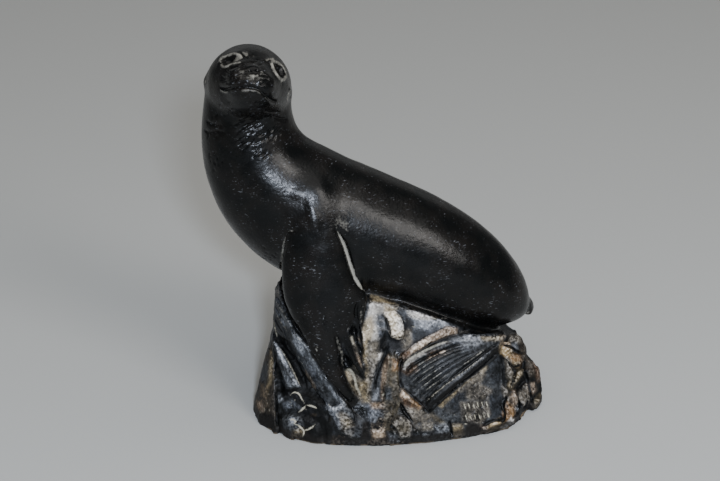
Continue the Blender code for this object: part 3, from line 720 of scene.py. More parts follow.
@dataclass(frozen=True)
class RockFlats:
    """The flats and stones of the rock, the wide ones first.

    Attributes:
        shard: How far the loose stones at the tail stand out.
        left: Left of the near fore flipper: a slab, a valley, two long ridges, and black painted
        shadow over the deep valley between the ridges.
        middle: Between the flippers: the pale flats at the top and the brown hollow under them.
        low: The lumps at the foot, in front.
        fan: The hind flipper's colours, with painted glints at its root, painted highlights on its
        rim and on top of its toe, and painted shadow under the toe.
        plane: The smooth plane under the hind flipper.
        tail: The loose stones at the tail, on black.
    """

    shard: float = 1.3

    left: tuple[Facet, ...] = (
        Facet(((273, 340), (268, 350), (262, 362), (259, 378), (255, 398), (253, 412), (257, 421),
            (266, 430), (277, 436), (279, 420), (275, 398), (274, 372)), Tint.PEAT, 0.85),
        Facet(((271, 350), (273, 362), (271, 384), (267, 396), (264, 395), (267, 384), (269, 366)),
            Tint.LICHEN, 0.75, soft=1.2),
        Facet(((261, 366), (267, 360), (268, 376), (263, 384), (260, 378)), Tint.SLATE, 0.7),
        Facet(((262, 384), (268, 386), (266, 398), (261, 396)), Tint.SAND, 0.9),
        Facet(((255, 402), (262, 400), (263, 411), (257, 413)), Tint.CLAY, 0.85),
        Facet(((255, 414), (272, 412), (279, 424), (278, 436), (266, 430), (257, 421)),
            Tint.UMBER_BLACK, 0.9),
        # Painted shadow: black over the deep valley between the ridges, widening at its foot.
        Facet(((277, 336), (290, 342), (299, 362), (312, 386), (323, 404), (328, 420), (330, 416),
            (300, 414), (280, 412), (276, 400)), Tint.JET, 1.0, rise=-0.6),
        Facet(((277, 412), (330, 416), (334, 440), (300, 442), (277, 436)), Tint.JET, 1.0),
        Facet(((275, 422), (284, 416), (306, 416), (318, 424), (322, 442), (300, 444), (274, 438)),
            Tint.JET, 1.0, rise=1.1),
        Facet(((276, 392), (281, 394), (283, 402), (278, 402)), Tint.ASH, 0.75),
        Facet(((283, 392), (298, 391), (316, 408), (308, 418), (286, 414)), Tint.CHARCOAL, 0.9),
        Facet(((283, 404), (292, 400), (301, 409), (294, 414), (286, 412)), Tint.STEEL, 0.7),
        Facet(((274, 342), (278, 345), (284, 356), (290, 368), (295, 378), (300, 387), (294, 387),
            (288, 388), (283, 380), (278, 364), (275, 352)), Tint.SLATE, 0.85, rise=0.9),
        Facet(((274, 342), (277, 344), (283, 354), (288, 364), (286, 369), (281, 362), (277, 352)),
            Tint.MIST, 0.85, soft=1.2),
        Facet(((284, 372), (291, 370), (296, 380), (300, 388), (294, 386), (287, 388), (284, 380)),
            Tint.ASH, 0.7),
        Facet(((271, 298), (282, 298), (286, 307), (292, 326), (290, 340), (280, 335), (275, 325),
            (271, 312)), Tint.NAVY, 0.9, rise=0.2),
        Facet(((272, 297), (279, 296), (283, 306), (282, 316), (276, 316), (273, 308)),
            Tint.STEEL, 0.7),
        Facet(((280, 312), (286, 318), (291, 327), (287, 328), (281, 321)), Tint.ASH, 0.9, soft=1.2),
        Facet(((290, 331), (300, 337), (311, 356), (323, 376), (337, 394), (346, 404), (338, 410),
            (326, 406), (321, 396), (310, 378), (300, 362), (294, 348)), Tint.NAVY, 0.95),
        Facet(((292, 334), (299, 336), (305, 345), (311, 357), (306, 362), (300, 352), (294, 344)),
            Tint.ASH, 0.85),
        Facet(((302, 352), (311, 360), (318, 372), (312, 376), (304, 364)), Tint.STEEL, 0.6),
        Facet(((306, 345), (313, 358), (322, 374), (333, 390), (346, 404), (341, 404), (330, 392),
            (318, 374), (309, 358)), Tint.ASH, 0.85, soft=1.0),
        Facet(((318, 378), (328, 390), (338, 402), (330, 405), (323, 396), (317, 384)),
            Tint.SLATE, 0.9),
        Facet(((325, 404), (336, 406), (344, 404), (352, 412), (362, 420), (366, 428), (360, 437),
            (350, 437), (340, 430), (331, 417)), Tint.SLATE, 0.85, rise=0.7),
        Facet(((326, 403), (332, 408), (341, 404), (343, 408), (334, 412), (327, 409)), Tint.MIST, 0.6,
            soft=1.2),
        Facet(((337, 412), (347, 414), (354, 425), (357, 434), (350, 437), (341, 430), (336, 420)),
            Tint.GREIGE, 0.75),
        Facet(((340, 420), (346, 419), (353, 427), (355, 433), (349, 434), (342, 428)),
            Tint.LICHEN, 0.7),
        Facet(((330, 410), (338, 412), (341, 424), (340, 430), (334, 420)), Tint.STEEL, 0.8),
        Facet(((350, 414), (358, 420), (360, 429), (355, 430), (350, 420)), Tint.CHARCOAL, 0.9),
        Facet(((283, 415), (292, 412), (301, 415), (304, 426), (302, 434), (291, 437), (284, 430)),
            Tint.SLATE, 0.8, rise=0.6),
        Facet(((288, 419), (293, 417), (297, 421), (294, 425), (289, 424)), Tint.ASH, 0.8),
        Facet(((294, 431), (303, 428), (305, 434), (301, 437), (292, 437)), Tint.LICHEN, 0.8),
    )
    middle: tuple[Facet, ...] = (
        Facet(((345, 375), (352, 369), (358, 374), (366, 383), (372, 392), (371, 404), (362, 404),
            (355, 396), (348, 386)), Tint.GREIGE, 0.95, rise=-0.3),
        Facet(((344, 371), (349, 370), (352, 380), (354, 388), (350, 386), (346, 378)),
            Tint.BONE, 0.85, soft=1.2),
        Facet(((350, 381), (358, 380), (362, 390), (358, 396), (352, 388)), Tint.MOSS, 0.95),
        Facet(((358, 384), (368, 380), (371, 392), (368, 400), (361, 398)), Tint.LICHEN, 0.9),
        Facet(((346, 336), (353, 336), (358, 349), (361, 358), (363, 371), (357, 363), (350, 350)),
            Tint.GREIGE, 0.95, rise=-0.4, soft=1.2),
        Facet(((347, 336), (353, 336), (354, 344), (350, 346)), Tint.CHALK, 0.9, soft=1.2),
        Facet(((355, 352), (361, 358), (362, 368), (358, 362)), Tint.CLAY, 0.9, soft=1.2),
        Facet(((369, 291), (378, 293), (392, 299), (400, 305), (388, 305), (371, 302)),
            Tint.LICHEN, 0.8),
        Facet(((371, 302), (385, 304), (396, 307), (392, 318), (386, 320), (387, 334), (374, 342),
            (364, 345), (360, 336), (363, 325), (367, 312)), Tint.PEARL, 0.9),
        Facet(((362, 322), (372, 316), (374, 330), (371, 340), (363, 346), (360, 335)),
            Tint.BONE, 0.9),
        Facet(((362, 342), (370, 338), (368, 356), (370, 372), (370, 404), (363, 400), (365, 380),
            (365, 366), (362, 352)), Tint.LICHEN, 0.95),
        Facet(((376, 314), (384, 314), (386, 320), (377, 321)), Tint.STEEL, 0.9),
        Facet(((375, 321), (386, 321), (388, 328), (377, 329)), Tint.ASH, 0.8),
        Facet(((377, 329), (388, 329), (391, 337), (384, 340), (378, 338)), Tint.STEEL, 0.9),
        Facet(((368, 340), (379, 341), (380, 352), (378, 362), (374, 370), (372, 402), (368, 398),
            (368, 366), (367, 352)), Tint.GREIGE, 0.8),
        Facet(((386, 334), (398, 338), (403, 341), (402, 351), (388, 352), (378, 350), (380, 340)),
            Tint.CHARCOAL, 0.75),
        Facet(((379, 352), (384, 352), (383, 358), (380, 361), (378, 358)), Tint.PEARL, 1.0, soft=1.0),
        Facet(((388, 352), (400, 356), (399, 366), (400, 384), (402, 402), (398, 414), (386, 418),
            (380, 404), (381, 388), (384, 368)), Tint.MOSS, 0.95),
        Facet(((384, 350), (389, 350), (386, 360), (384, 372), (383, 388), (382, 402), (371, 402),
            (371, 386), (375, 372)), Tint.SLATE, 0.9, rise=-0.2),
        Facet(((374, 390), (378, 388), (378, 400), (373, 401)), Tint.MIST, 0.7, soft=1.2),
        Facet(((384, 358), (389, 354), (388, 368), (385, 384), (383, 400), (380, 400), (381, 380)),
            Tint.CLAY, 0.9, soft=1.2),
        Facet(((392, 358), (400, 360), (400, 370), (393, 371)), Tint.OCHRE, 0.7),
        Facet(((384, 386), (392, 388), (392, 400), (385, 400)), Tint.SLATE, 0.8),
        Facet(((401, 309), (411, 311), (430, 315), (450, 323), (458, 328), (440, 333), (426, 339),
            (415, 347), (405, 353), (402, 344), (404, 330), (402, 318)), Tint.STEEL, 0.85),
        Facet(((404, 318), (412, 319), (414, 333), (406, 331)), Tint.CHARCOAL, 0.8),
        Facet(((407, 311), (420, 313), (432, 317), (431, 322), (414, 318), (408, 316)),
            Tint.PEARL, 0.85),
        Facet(((430, 318), (442, 321), (453, 326), (440, 328), (431, 324)), Tint.MIST, 0.9),
        Facet(((415, 320), (430, 321), (432, 329), (423, 330), (415, 328)), Tint.MIST, 0.7),
        Facet(((412, 331), (428, 330), (426, 337), (414, 342)), Tint.NAVY, 0.7),
        Facet(((400, 328), (411, 330), (413, 342), (409, 350), (402, 350)), Tint.GREIGE, 0.8),
        Facet(((384, 305), (396, 308), (398, 316), (392, 318), (385, 312)), Tint.BONE, 0.8),
        Facet(((394, 309), (405, 311), (404, 316), (397, 314)), Tint.STEEL, 0.9),
        Facet(((384, 312), (393, 313), (400, 317), (402, 325), (403, 330), (402, 337), (398, 339),
            (392, 336), (389, 330), (387, 321)), Tint.BONE, 0.95, rise=0.9),
        Facet(((396, 317), (402, 321), (403, 331), (399, 331)), Tint.PEARL, 1.0),
        Facet(((447, 328), (455, 329), (456, 333), (441, 338), (431, 342), (421, 349), (411, 355),
            (403, 361), (400, 357), (408, 351), (416, 344), (426, 338), (437, 333)), Tint.BISQUE, 0.95,
            rise=0.9),
        Facet(((447, 327), (457, 328), (457, 334), (441, 339), (431, 343), (430, 337)),
            Tint.CLAY, 0.9),
        Facet(((399, 353), (410, 349), (413, 353), (403, 361)), Tint.RUST, 0.8),
    )
    low: tuple[Facet, ...] = (
        Facet(((364, 404), (380, 402), (380, 416), (376, 424), (368, 422)), Tint.STEEL, 0.7),
        Facet(((370, 402), (383, 402), (384, 409), (372, 408)), Tint.CLAY, 0.7),
        Facet(((384, 408), (396, 404), (399, 416), (394, 424), (390, 436), (384, 432)),
            Tint.MOSS, 0.85),
        Facet(((371, 430), (384, 430), (386, 438), (374, 441)), Tint.BISQUE, 0.95, rise=0.3),
        Facet(((388, 432), (399, 434), (400, 441), (389, 441)), Tint.MIST, 0.6),
        Facet(((404, 404), (420, 408), (432, 410), (434, 430), (416, 431), (409, 420)),
            Tint.GREIGE, 0.8),
        Facet(((362, 422), (370, 420), (371, 440), (361, 440)), Tint.UMBER_BLACK, 0.9),
        Facet(((393, 419), (402, 416), (410, 421), (412, 430), (410, 438), (400, 438), (393, 431)),
            Tint.GREIGE, 0.8, rise=0.7),
        Facet(((397, 419), (402, 418), (408, 422), (410, 430), (408, 434), (400, 433), (397, 428)),
            Tint.MOSS, 0.9),
        Facet(((431, 409), (440, 402), (448, 400), (450, 412), (447, 424), (436, 426), (432, 418)),
            Tint.MOSS, 0.8),
        Facet(((434, 424), (450, 424), (452, 432), (436, 433)), Tint.ASH, 0.6),
        Facet(((402, 388), (412, 388), (417, 392), (424, 398), (425, 408), (418, 408), (408, 402),
            (401, 396)), Tint.BISQUE, 0.9, rise=0.4),
        Facet(((401, 396), (410, 400), (418, 408), (410, 408), (402, 404)), Tint.RUST, 0.8),
        Facet(((410, 398), (420, 398), (424, 405), (419, 409), (412, 404)), Tint.AMBER, 0.8),
        Facet(((407, 392), (415, 391), (419, 396), (411, 397)), Tint.PEARL, 0.85, soft=1.2),
    )
    fan: tuple[Facet, ...] = (
        Facet(((403, 362), (413, 354), (431, 346), (447, 340), (461, 336), (480, 336), (500, 340),
            (500, 352), (472, 373), (448, 393), (428, 413), (421, 405), (409, 395), (401, 387),
            (400, 374)), Tint.SLATE, 0.85),
        Facet(((400, 370), (412, 363), (418, 362), (418, 370), (408, 376)), Tint.RUST, 0.9),
        Facet(((428, 352), (445, 348), (450, 352), (436, 358), (426, 362)), Tint.RUST, 0.8),
        Facet(((439, 350), (446, 349), (446, 354), (440, 354)), Tint.BISQUE, 0.9, soft=1.2),
        Facet(((436, 342), (460, 336), (462, 346), (440, 350)), Tint.STEEL, 0.7),
        # Painted glints at the root of the fan.
        Facet(((448, 337), (460, 334), (462, 338), (450, 340)), Tint.ASH, 0.8),
        Facet(((460, 336), (480, 336), (482, 344), (474, 352), (462, 352)), Tint.ASH, 0.65),
        Facet(((463, 334), (473, 334), (471, 339), (464, 340)), Tint.MIST, 0.9, soft=1.0),
        Facet(((480, 337), (500, 336), (503, 339), (495, 341), (482, 340)), Tint.LICHEN, 0.8,
            soft=1.2),
        Facet(((438, 360), (452, 360), (456, 368), (444, 376), (436, 372)), Tint.STEEL, 0.6),
        # The black toe, widened below to take in painted shadow.
        Facet(((424, 402), (438, 389), (454, 377), (470, 365), (486, 351), (499, 344), (500, 354),
            (474, 376), (447, 397), (429, 413)), Tint.JET, 1.0, rise=0.7, soft=1.2),
        # Painted highlight along the top of the toe.
        Facet(((444, 385), (458, 375), (472, 364), (487, 351), (493, 347), (490, 353), (474, 366),
            (458, 379)), Tint.STEEL, 0.6, soft=1.2),
        # Painted highlight: a narrow white strip along the rim.
        Facet(((424, 350), (425, 353), (417, 358), (410, 363), (405, 370), (402, 371), (406, 364),
            (413, 357)), Tint.PEARL, 0.9, soft=0.8),
    )
    plane: tuple[Facet, ...] = (
        Facet(((499, 353), (503, 366), (504, 386), (506, 402), (497, 418), (481, 427), (455, 431),
            (431, 411), (444, 398), (458, 386), (473, 374)), Tint.SLATE, 0.9),
        Facet(((462, 380), (476, 370), (486, 374), (480, 384), (466, 386)), Tint.GREIGE, 0.8),
        Facet(((477, 369), (482, 363), (488, 360), (488, 368), (483, 373)), Tint.BONE, 0.8),
        Facet(((486, 360), (500, 356), (502, 384), (492, 384), (488, 372)), Tint.NAVY, 0.6),
        Facet(((455, 390), (478, 384), (492, 390), (490, 400), (470, 400)), Tint.GREIGE, 0.5),
        Facet(((450, 396), (466, 390), (466, 410), (452, 412)), Tint.NAVY, 0.7),
        Facet(((488, 394), (505, 396), (504, 410), (496, 420), (488, 414)), Tint.NAVY, 0.7),
        Facet(((438, 405), (448, 395), (460, 385), (470, 377), (472, 379), (458, 391), (450, 400),
            (442, 408)), Tint.LICHEN, 0.6, soft=1.0),
        Facet(((460, 402), (488, 402), (490, 414), (480, 424), (462, 420)), Tint.GREIGE, 0.5),
        Facet(((452, 424), (462, 424), (464, 434), (456, 439), (452, 434)), Tint.LICHEN, 0.75,
            rise=0.2),
        Facet(((464, 420), (480, 424), (480, 432), (466, 434)), Tint.UMBER_BLACK, 0.9),
    )

    tail: tuple[Facet, ...] = (
        Facet(((500, 345), (510, 331), (521, 334), (527, 345), (529, 356), (538, 366), (543, 382),
            (543, 396), (538, 410), (520, 425), (503, 432), (480, 436), (482, 430), (500, 424),
            (506, 402), (503, 366)), Tint.JET, 0.95, rise=-0.7),
        Facet(((508, 334), (514, 331), (520, 336), (521, 344), (513, 342), (508, 342)),
            Tint.GREIGE, 0.9, rise=shard),
        Facet(((510, 344), (516, 343), (518, 349), (512, 351)), Tint.ASH, 0.95, rise=0.5 * shard),
        Facet(((520, 338), (526, 346), (527, 358), (522, 362), (520, 350)), Tint.PEAT, 0.9, rise=shard),
        Facet(((500, 346), (504, 342), (509, 343), (512, 349), (512, 357), (506, 358), (501, 354)),
            Tint.HONEY, 0.95, rise=shard),
        Facet(((502, 343), (508, 343), (509, 348), (503, 348)), Tint.BISQUE, 0.8),
        Facet(((511, 354), (519, 354), (522, 360), (519, 367), (514, 366), (510, 360)),
            Tint.AMBER, 0.95, rise=shard),
        Facet(((512, 362), (520, 362), (518, 368), (514, 367)), Tint.LICHEN, 0.8),
        Facet(((504, 357), (509, 358), (513, 368), (514, 377), (511, 383), (507, 378), (506, 368)),
            Tint.GREIGE, 0.95, rise=shard),
        Facet(((524, 369), (522, 375), (517, 381), (511, 390), (508, 386), (511, 379), (518, 371)),
            Tint.LICHEN, 0.95, rise=shard),
        Facet(((502, 385), (507, 390), (511, 396), (509, 403), (505, 398), (502, 392)),
            Tint.GREIGE, 0.95, rise=shard),
        Facet(((513, 390), (517, 391), (518, 402), (517, 411), (511, 408), (511, 398)),
            Tint.CLAY, 0.95, rise=shard),
        Facet(((507, 401), (511, 406), (516, 409), (515, 417), (512, 422), (505, 422), (502, 414),
            (505, 406)), Tint.AMBER, 0.85, rise=shard),
        Facet(((510, 418), (516, 418), (514, 424), (506, 428), (502, 431), (501, 428), (507, 424)),
            Tint.PEARL, 0.8, rise=0.3),
        Facet(((484, 429), (490, 423), (499, 419), (504, 423), (498, 428), (488, 431)),
            Tint.HONEY, 0.85, rise=0.6),
        Facet(((480, 426), (487, 424), (488, 433), (481, 434)), Tint.CLAY, 0.8, rise=0.5),
        Facet(((519, 390), (522, 393), (527, 406), (523, 407), (518, 398)), Tint.GREIGE, 0.95,
            rise=shard),
        Facet(((523, 385), (527, 384), (530, 396), (529, 403), (525, 401), (524, 393)),
            Tint.GREIGE, 0.8, rise=shard),
        Facet(((528, 384), (535, 383), (536, 391), (532, 395), (528, 393)), Tint.CLAY, 0.8, rise=shard),
        Facet(((527, 358), (533, 360), (536, 374), (530, 378), (526, 368)), Tint.PEAT, 0.9,
            rise=0.6 * shard),
        Facet(((534, 361), (539, 366), (541, 379), (538, 382), (535, 372)), Tint.RUST, 0.95,
            rise=0.7 * shard),
        Facet(((534, 402), (538, 396), (542, 393), (541, 402), (537, 409), (532, 409)),
            Tint.LICHEN, 0.95, rise=shard),
        Facet(((515, 406), (521, 404), (524, 414), (518, 421)), Tint.STEEL, 0.6),
        Facet(((527, 408), (534, 408), (530, 415), (524, 420)), Tint.SLATE, 0.9),
    )

    def facets(self) -> tuple[Facet, ...]:
        """Every flat and stone."""
        return self.left + self.middle + self.low + self.plane + self.fan + self.tail


@dataclass
class Carving:
    """The whole stone: the polished animal and the rough rock under it, as one mesh.

    Attributes:
        sheet: The front view that the strokes are drawn on.
        grain: Size of the squares that the stone is worked in.
        faces: Most triangles of the finished mesh.
        middle: Plane between the near and far side, along Y.
        skin: Outline of the animal's polished skin on the sheet.
        fan: Outline of the hind flipper that lies on the rock.
        blur: Half width of the soft edge of both, on the sheet.
        cloudy: Colours of the cloudy stains.
        cuts: The strokes of the chisel.
        leap: Longest step along a stroke. A longer one jumps over an edge and isn't cut.
        front: Share of the thinning that the front is spared.
        pull: How strongly it is spared. The thinning counts in squared metres, so it is tiny.
        polished: Rounds of smoothing on the animal.
        dulled: Rounds of smoothing on the rock.
        levelled: Rounds of smoothing of the surface that hollows are measured from.
        chipped: Size of the small chisel facets all over the rock, and how far they tilt.
        rough: Size of the roughness on them, and its height.
        waves: Sizes of the soft waves of the skin, with their heights.
        grit: Size of the grit of the rock, and its height.
        spared: Shares of the chipping and of the grit that the hind flipper is spared.
        rubbed: How worn the hind flipper is, beside the animal's skin.
        told: Range of depths that is told apart.
        stray: Size and reach of the wavering of the flats' edges.
        clouds: Size of the cloudy stains, and of their strong and weak places.
        stone: The mesh that is being worked.
    """

    sheet: Sheet
    grain: float = 0.32
    faces: int = 196000
    middle: float = 0.86
    skin: tuple[Point, ...] = (
        (100, -50), (640, -50), (640, 300), (545, 318), (531, 323), (520, 332), (503, 336),
        (482, 333), (465, 328), (440, 319), (412, 309), (387, 300), (374, 293), (366, 293),
        (367, 298), (368, 310), (362, 328), (363, 350), (358, 332), (355, 318), (348, 331),
        (354, 350), (364, 379), (357, 373), (350, 360), (343, 343), (341, 358), (344, 372),
        (353, 392), (361, 407), (350, 406), (337, 392), (322, 372), (305, 343), (292, 322), (285, 305),
        (280, 285), (274, 277), (262, 270), (240, 262), (100, 255))
    fan: tuple[Point, ...] = (
        (402, 357), (418, 350), (436, 341), (456, 336), (480, 337), (500, 339), (500, 352),
        (472, 373), (448, 393), (427, 413), (421, 405), (409, 395), (401, 387), (399, 373))
    blur: float = 1.2
    cloudy: tuple[Tint, ...] = (Tint.PEAT, Tint.SLATE, Tint.NAVY, Tint.SLATE, Tint.SAND)
    cuts: list[Cut] = field(default_factory=list)
    leap: float = 2.5
    front: float = 0.8
    pull: float = 2e-6
    polished: int = 70
    dulled: int = 8
    levelled: int = 40
    chipped: tuple[float, float] = (6.5, 0.6)
    rough: tuple[float, float] = (2.6, 0.13)
    waves: tuple[tuple[float, float], ...] = ((9.0, 0.14), (3.2, 0.05))
    grit: tuple[float, float] = (0.9, 0.07)
    spared: tuple[float, float] = (0.8, 0.6)
    rubbed: float = 0.35
    told: float = 1.2
    stray: tuple[float, float] = (2.4, 0.9)
    clouds: tuple[float, float] = (6.0, 4.0)
    stone: Object = field(init=False)

    def build(self) -> Object:
        """Makes the finished mesh of the stone.

        Returns:
            The object, in place and undressed.
        """
        self.stone = self.blank()
        self.polish()
        self.chip()
        self.flatten()
        self.carve()
        self.rasp()
        self.seat()
        self.thin()
        self.colour()
        only(self.stone)
        bpy.ops.object.shade_smooth()
        return self.stone

    def blank(self) -> Object:
        """Copies the solid and works it into even squares.

        Returns:
            The copy.
        """
        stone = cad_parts[NODE].copy()
        stone.data = stone.data.copy()
        stone.parent = None
        for key in list(stone.keys()):
            del stone[key]
        bpy.context.scene.collection.objects.link(stone)
        stone.name = stone.data.name = "carved_soapstone"
        only(stone)
        bpy.ops.object.mode_set(mode="EDIT")
        bpy.ops.mesh.select_all(action="SELECT")
        bpy.ops.mesh.remove_doubles(threshold=1e-6)
        bpy.ops.object.mode_set(mode="OBJECT")
        apply_modifier(stone, "REMESH", mode="VOXEL", voxel_size=self.grain * MM)
        LOG.info("blank: %d points", len(stone.data.vertices))
        return stone

    def places(self) -> tuple[np.ndarray, np.ndarray]:
        """Reads the mesh.

        Returns:
            Its points and their normals.
        """
        mesh = self.stone.data
        count = len(mesh.vertices) * 3
        places, normals = np.empty(count), np.empty(count)
        mesh.vertices.foreach_get("co", places)
        mesh.vertices.foreach_get("normal", normals)
        return places.reshape(-1, 3), normals.reshape(-1, 3)

    def move(self, places: np.ndarray) -> None:
        """Puts the points of the mesh in new places."""
        self.stone.data.vertices.foreach_set("co", places.ravel())
        self.stone.data.update()

    def on_sheet(self, places: np.ndarray) -> np.ndarray:
        """Draws points on the sheet, with the far side folded over to the near one.

        Args:
            places: The points.

        Returns:
            Rows of across and down.
        """
        folded = places.copy()
        middle = self.middle * MM
        folded[:, 1] = middle - np.abs(folded[:, 1] - middle)
        return self.sheet.drawn(folded)

    def inside(self, drawn: np.ndarray, outline: tuple[Point, ...], soft: float) -> np.ndarray:
        """How far points lie inside an outline, 0 to 1, with a soft edge.

        Args:
            drawn: Points on the sheet.
            outline: Corners of the outline.
            soft: Half width of the soft edge.

        Returns:
            One share for each point.
        """
        corners = np.array(outline, float)
        low, high = corners.min(axis=0) - soft, corners.max(axis=0) + soft
        near = np.flatnonzero(((drawn > low) & (drawn < high)).all(axis=1))
        points = drawn[near]
        held = np.zeros(len(near), bool)
        gap = np.full(len(near), np.inf)
        for a, b in zip(corners, np.roll(corners, -1, axis=0)):
            along = b - a
            share = np.clip((points - a) @ along / (along @ along), 0, 1)
            gap = np.minimum(gap, np.linalg.norm(points - a - share[:, None] * along, axis=1))
            crosses = (a[1] > points[:, 1]) != (b[1] > points[:, 1])
            if a[1] != b[1]:
                at = a[0] + along[0] * (points[:, 1] - a[1]) / along[1]
                held ^= crosses & (points[:, 0] < at)
        shares = np.zeros(len(drawn))
        shares[near] = np.clip(0.5 + np.where(held, gap, -gap) / (2 * soft), 0, 1)
        return shares

    def worn(self, places: np.ndarray) -> tuple[np.ndarray, np.ndarray]:
        """How much each point belongs to the animal's skin, and to its hind flipper."""
        drawn = self.on_sheet(places)
        return self.inside(drawn, self.skin, self.blur), self.inside(drawn, self.fan, self.blur)

    def smooth(self, rounds: int, weights: np.ndarray) -> None:
        """Smooths the mesh.

        Args:
            rounds: How often it is smoothed.
            weights: How strongly each point follows, 0 to 1.
        """
        group = self.weigh(weights)
        apply_modifier(self.stone, "SMOOTH", iterations=rounds, vertex_group=group)
        self.stone.vertex_groups.clear()

    def weigh(self, weights: np.ndarray) -> str:
        """Gives each point a weight in steps of a tenth.

        Args:
            weights: A number from 0 to 1 for each point.

        Returns:
            The name of the group that holds the weights.
        """
        group = self.stone.vertex_groups.new(name="weights")
        steps = np.round(weights * 10).astype(int)
        for step in range(1, 11):
            chosen = np.flatnonzero(steps == step)
            group.add([int(i) for i in chosen], step / 10, "REPLACE")
        return group.name

    def polish(self) -> None:
        """Takes the flats out of the skin and the sharpest corners off the rock."""
        places, _ = self.places()
        animal, fan = self.worn(places)
        self.smooth(self.polished, animal)
        self.smooth(self.dulled, np.maximum(fan, 1 - animal))

    def chip(self) -> None:
        """Breaks the rock into chisel facets and lets the skin undulate a little."""
        places, normals = self.places()
        animal, fan = self.worn(places)
        push = np.zeros(len(places))
        size, lean = self.chipped
        grain, height = self.rough
        for i in np.flatnonzero(animal < 0.98):
            at = Vector(places[i]) * 1000
            spots = noise.voronoi(at / size)[1]
            tilt = noise.cell_vector(spots[0] * 7.3) - Vector((0.5, 0.5, 0.5))
            facet = tilt.dot(at / size - spots[0])
            rough = noise.fractal(at / grain, 0.9, 2.1, 4)
            push[i] = (lean * facet + height * rough) * (1 - animal[i]) * (1 - self.spared[0] * fan[i])
        for i in np.flatnonzero(animal > 0.02):
            at = Vector(places[i]) * 1000
            push[i] += sum(high * noise.noise(at / wide) for wide, high in self.waves) * animal[i]
        self.move(places + normals * (push * MM)[:, None])

    def seen(self, places: np.ndarray, normals: np.ndarray) -> tuple[np.ndarray, np.ndarray]:
        """Where the points fall on the sheet, a little astray, and how much the rock is seen.

        Args:
            places: Points of the mesh.
            normals: Their normals.

        Returns:
            Rows of across and down, and a share for each point, none for the skin and the back.
        """
        size, reach = self.stray
        stray = np.array([noise.noise_vector(Vector(at) * 1000 / size) for at in places])
        facing = np.clip(4 * normals @ np.array(self.sheet.back), 0, 1)
        animal, _ = self.worn(places)
        return self.sheet.drawn(places) + reach * stray[:, :2], facing * (1 - animal)

    def flatten(self) -> None:
        """Sets the flats and stones of the rock out or in."""
        places, normals = self.places()
        drawn, seen = self.seen(places, normals)
        push = np.zeros(len(places))
        for facet in RockFlats().facets():
            if facet.rise:
                push += facet.rise * self.inside(drawn, facet.outline, facet.soft)
        self.move(places + normals * (push * seen * MM)[:, None])

    def trace(self, cut: Cut) -> np.ndarray:
        """Lays a stroke on the surface.

        Args:
            cut: The stroke.

        Returns:
            Points along it in space.
        """
        flip = Vector((1, -1 if cut.far else 1, 1))
        middle = Vector((0, self.middle * MM, 0))
        eye = (self.sheet.eye - middle) * flip + middle
        sights = [self.sheet.ray(*point) * flip for point in flowing(cut.points)]
        hits = [self.stone.ray_cast(eye, sight) for sight in sights]
        return np.array([hit[1] for hit in hits if hit[0]]).reshape(-1, 3)

    def bite(
        self, places: np.ndarray, path: np.ndarray, cut: Cut
    ) -> tuple[np.ndarray, np.ndarray]:
        """How strongly a stroke bites into each point that it reaches.

        Args:
            places: Points of the mesh.
            path: Points along the stroke in space.
            cut: The stroke.

        Returns:
            Indices of the points in reach, and a share for each, 1 in the middle of the stroke.
        """
        half = cut.half * MM
        low, high = path.min(axis=0) - half, path.max(axis=0) + half
        near = np.flatnonzero(((places > low) & (places < high)).all(axis=1))
        share = np.zeros(len(near))
        steps = np.linalg.norm(np.diff(path, axis=0), axis=1)
        run = np.concatenate(([0], np.cumsum(steps)))
        for n, (start, end) in enumerate(zip(path, path[1:])):
            if steps[n] > self.leap * MM or steps[n] == 0:
                continue
            along = end - start
            t = np.clip((places[near] - start) @ along / (along @ along), 0, 1)
            gap = np.linalg.norm(places[near] - start - t[:, None] * along, axis=1)
            at = (run[n] + t * steps[n]) / run[-1]
            full = np.sqrt(np.clip(np.minimum(at, 1 - at) / max(cut.taper, 1e-6), 0.04, 1))
            profile = np.clip(1 - (gap / (half * full)) ** 2, 0, 1)
            share = np.maximum(share, full * profile)
        held = share > 0
        return near[held], share[held]

    def laid(self, cuts: list[Cut]) -> list[tuple[np.ndarray, Cut]]:
        """Lays strokes on the surface and leaves out those that miss it."""
        paths = [(self.trace(cut), cut) for cut in cuts]
        return [(path, cut) for path, cut in paths if len(path) > 1]

    def carve(self) -> None:
        """Cuts the strokes, each along the surface's own normal."""
        places, normals = self.places()
        push = np.zeros(len(places))
        for path, cut in self.laid(self.cuts):
            near, share = self.bite(places, path, cut)
            push[near] -= cut.depth * share ** 2
        self.move(places + normals * (push * MM)[:, None])
        LOG.info("carved: %d strokes", len(self.cuts))

    def rasp(self) -> None:
        """Gives the rock its fine grit."""
        places, normals = self.places()
        animal, fan = self.worn(places)
        push = np.zeros(len(places))
        size, height = self.grit
        for i in np.flatnonzero(animal < 0.98):
            at = Vector(places[i]) * 1000
            grit = noise.noise(at / size) + 0.6 * noise.noise(at / (size / 2))
            push[i] = height * grit * (1 - animal[i]) * (1 - self.spared[1] * fan[i])
        self.move(places + normals * (push * MM)[:, None])

    def seat(self) -> None:
        """Keeps the underside flat and the stone within the solid's own box."""
        places, _ = self.places()
        low, high = (np.array(corner) for corner in SOLID_BOX)
        flat = places[:, 2] < 0.3 * MM
        places = np.clip(places, low, high)
        places[flat, 2] = low[2]
        self.move(places)

    def thin(self) -> None:
        """Brings the mesh under its limit, mostly where it is smooth or at the back."""
        places, normals = self.places()
        facing = np.clip(0.5 + 2 * normals @ np.array(self.sheet.back), 0, 1)
        group = self.weigh(1 - self.front * facing)
        self.stone.data.calc_loop_triangles()
        ratio = min(1.0, self.faces / len(self.stone.data.loop_triangles))
        apply_modifier(
            self.stone, "DECIMATE", ratio=ratio, use_collapse_triangulate=True, vertex_group=group,
            vertex_group_factor=self.pull)
        self.stone.vertex_groups.clear()
        LOG.info("thinned: %d triangles", len(self.stone.data.polygons))

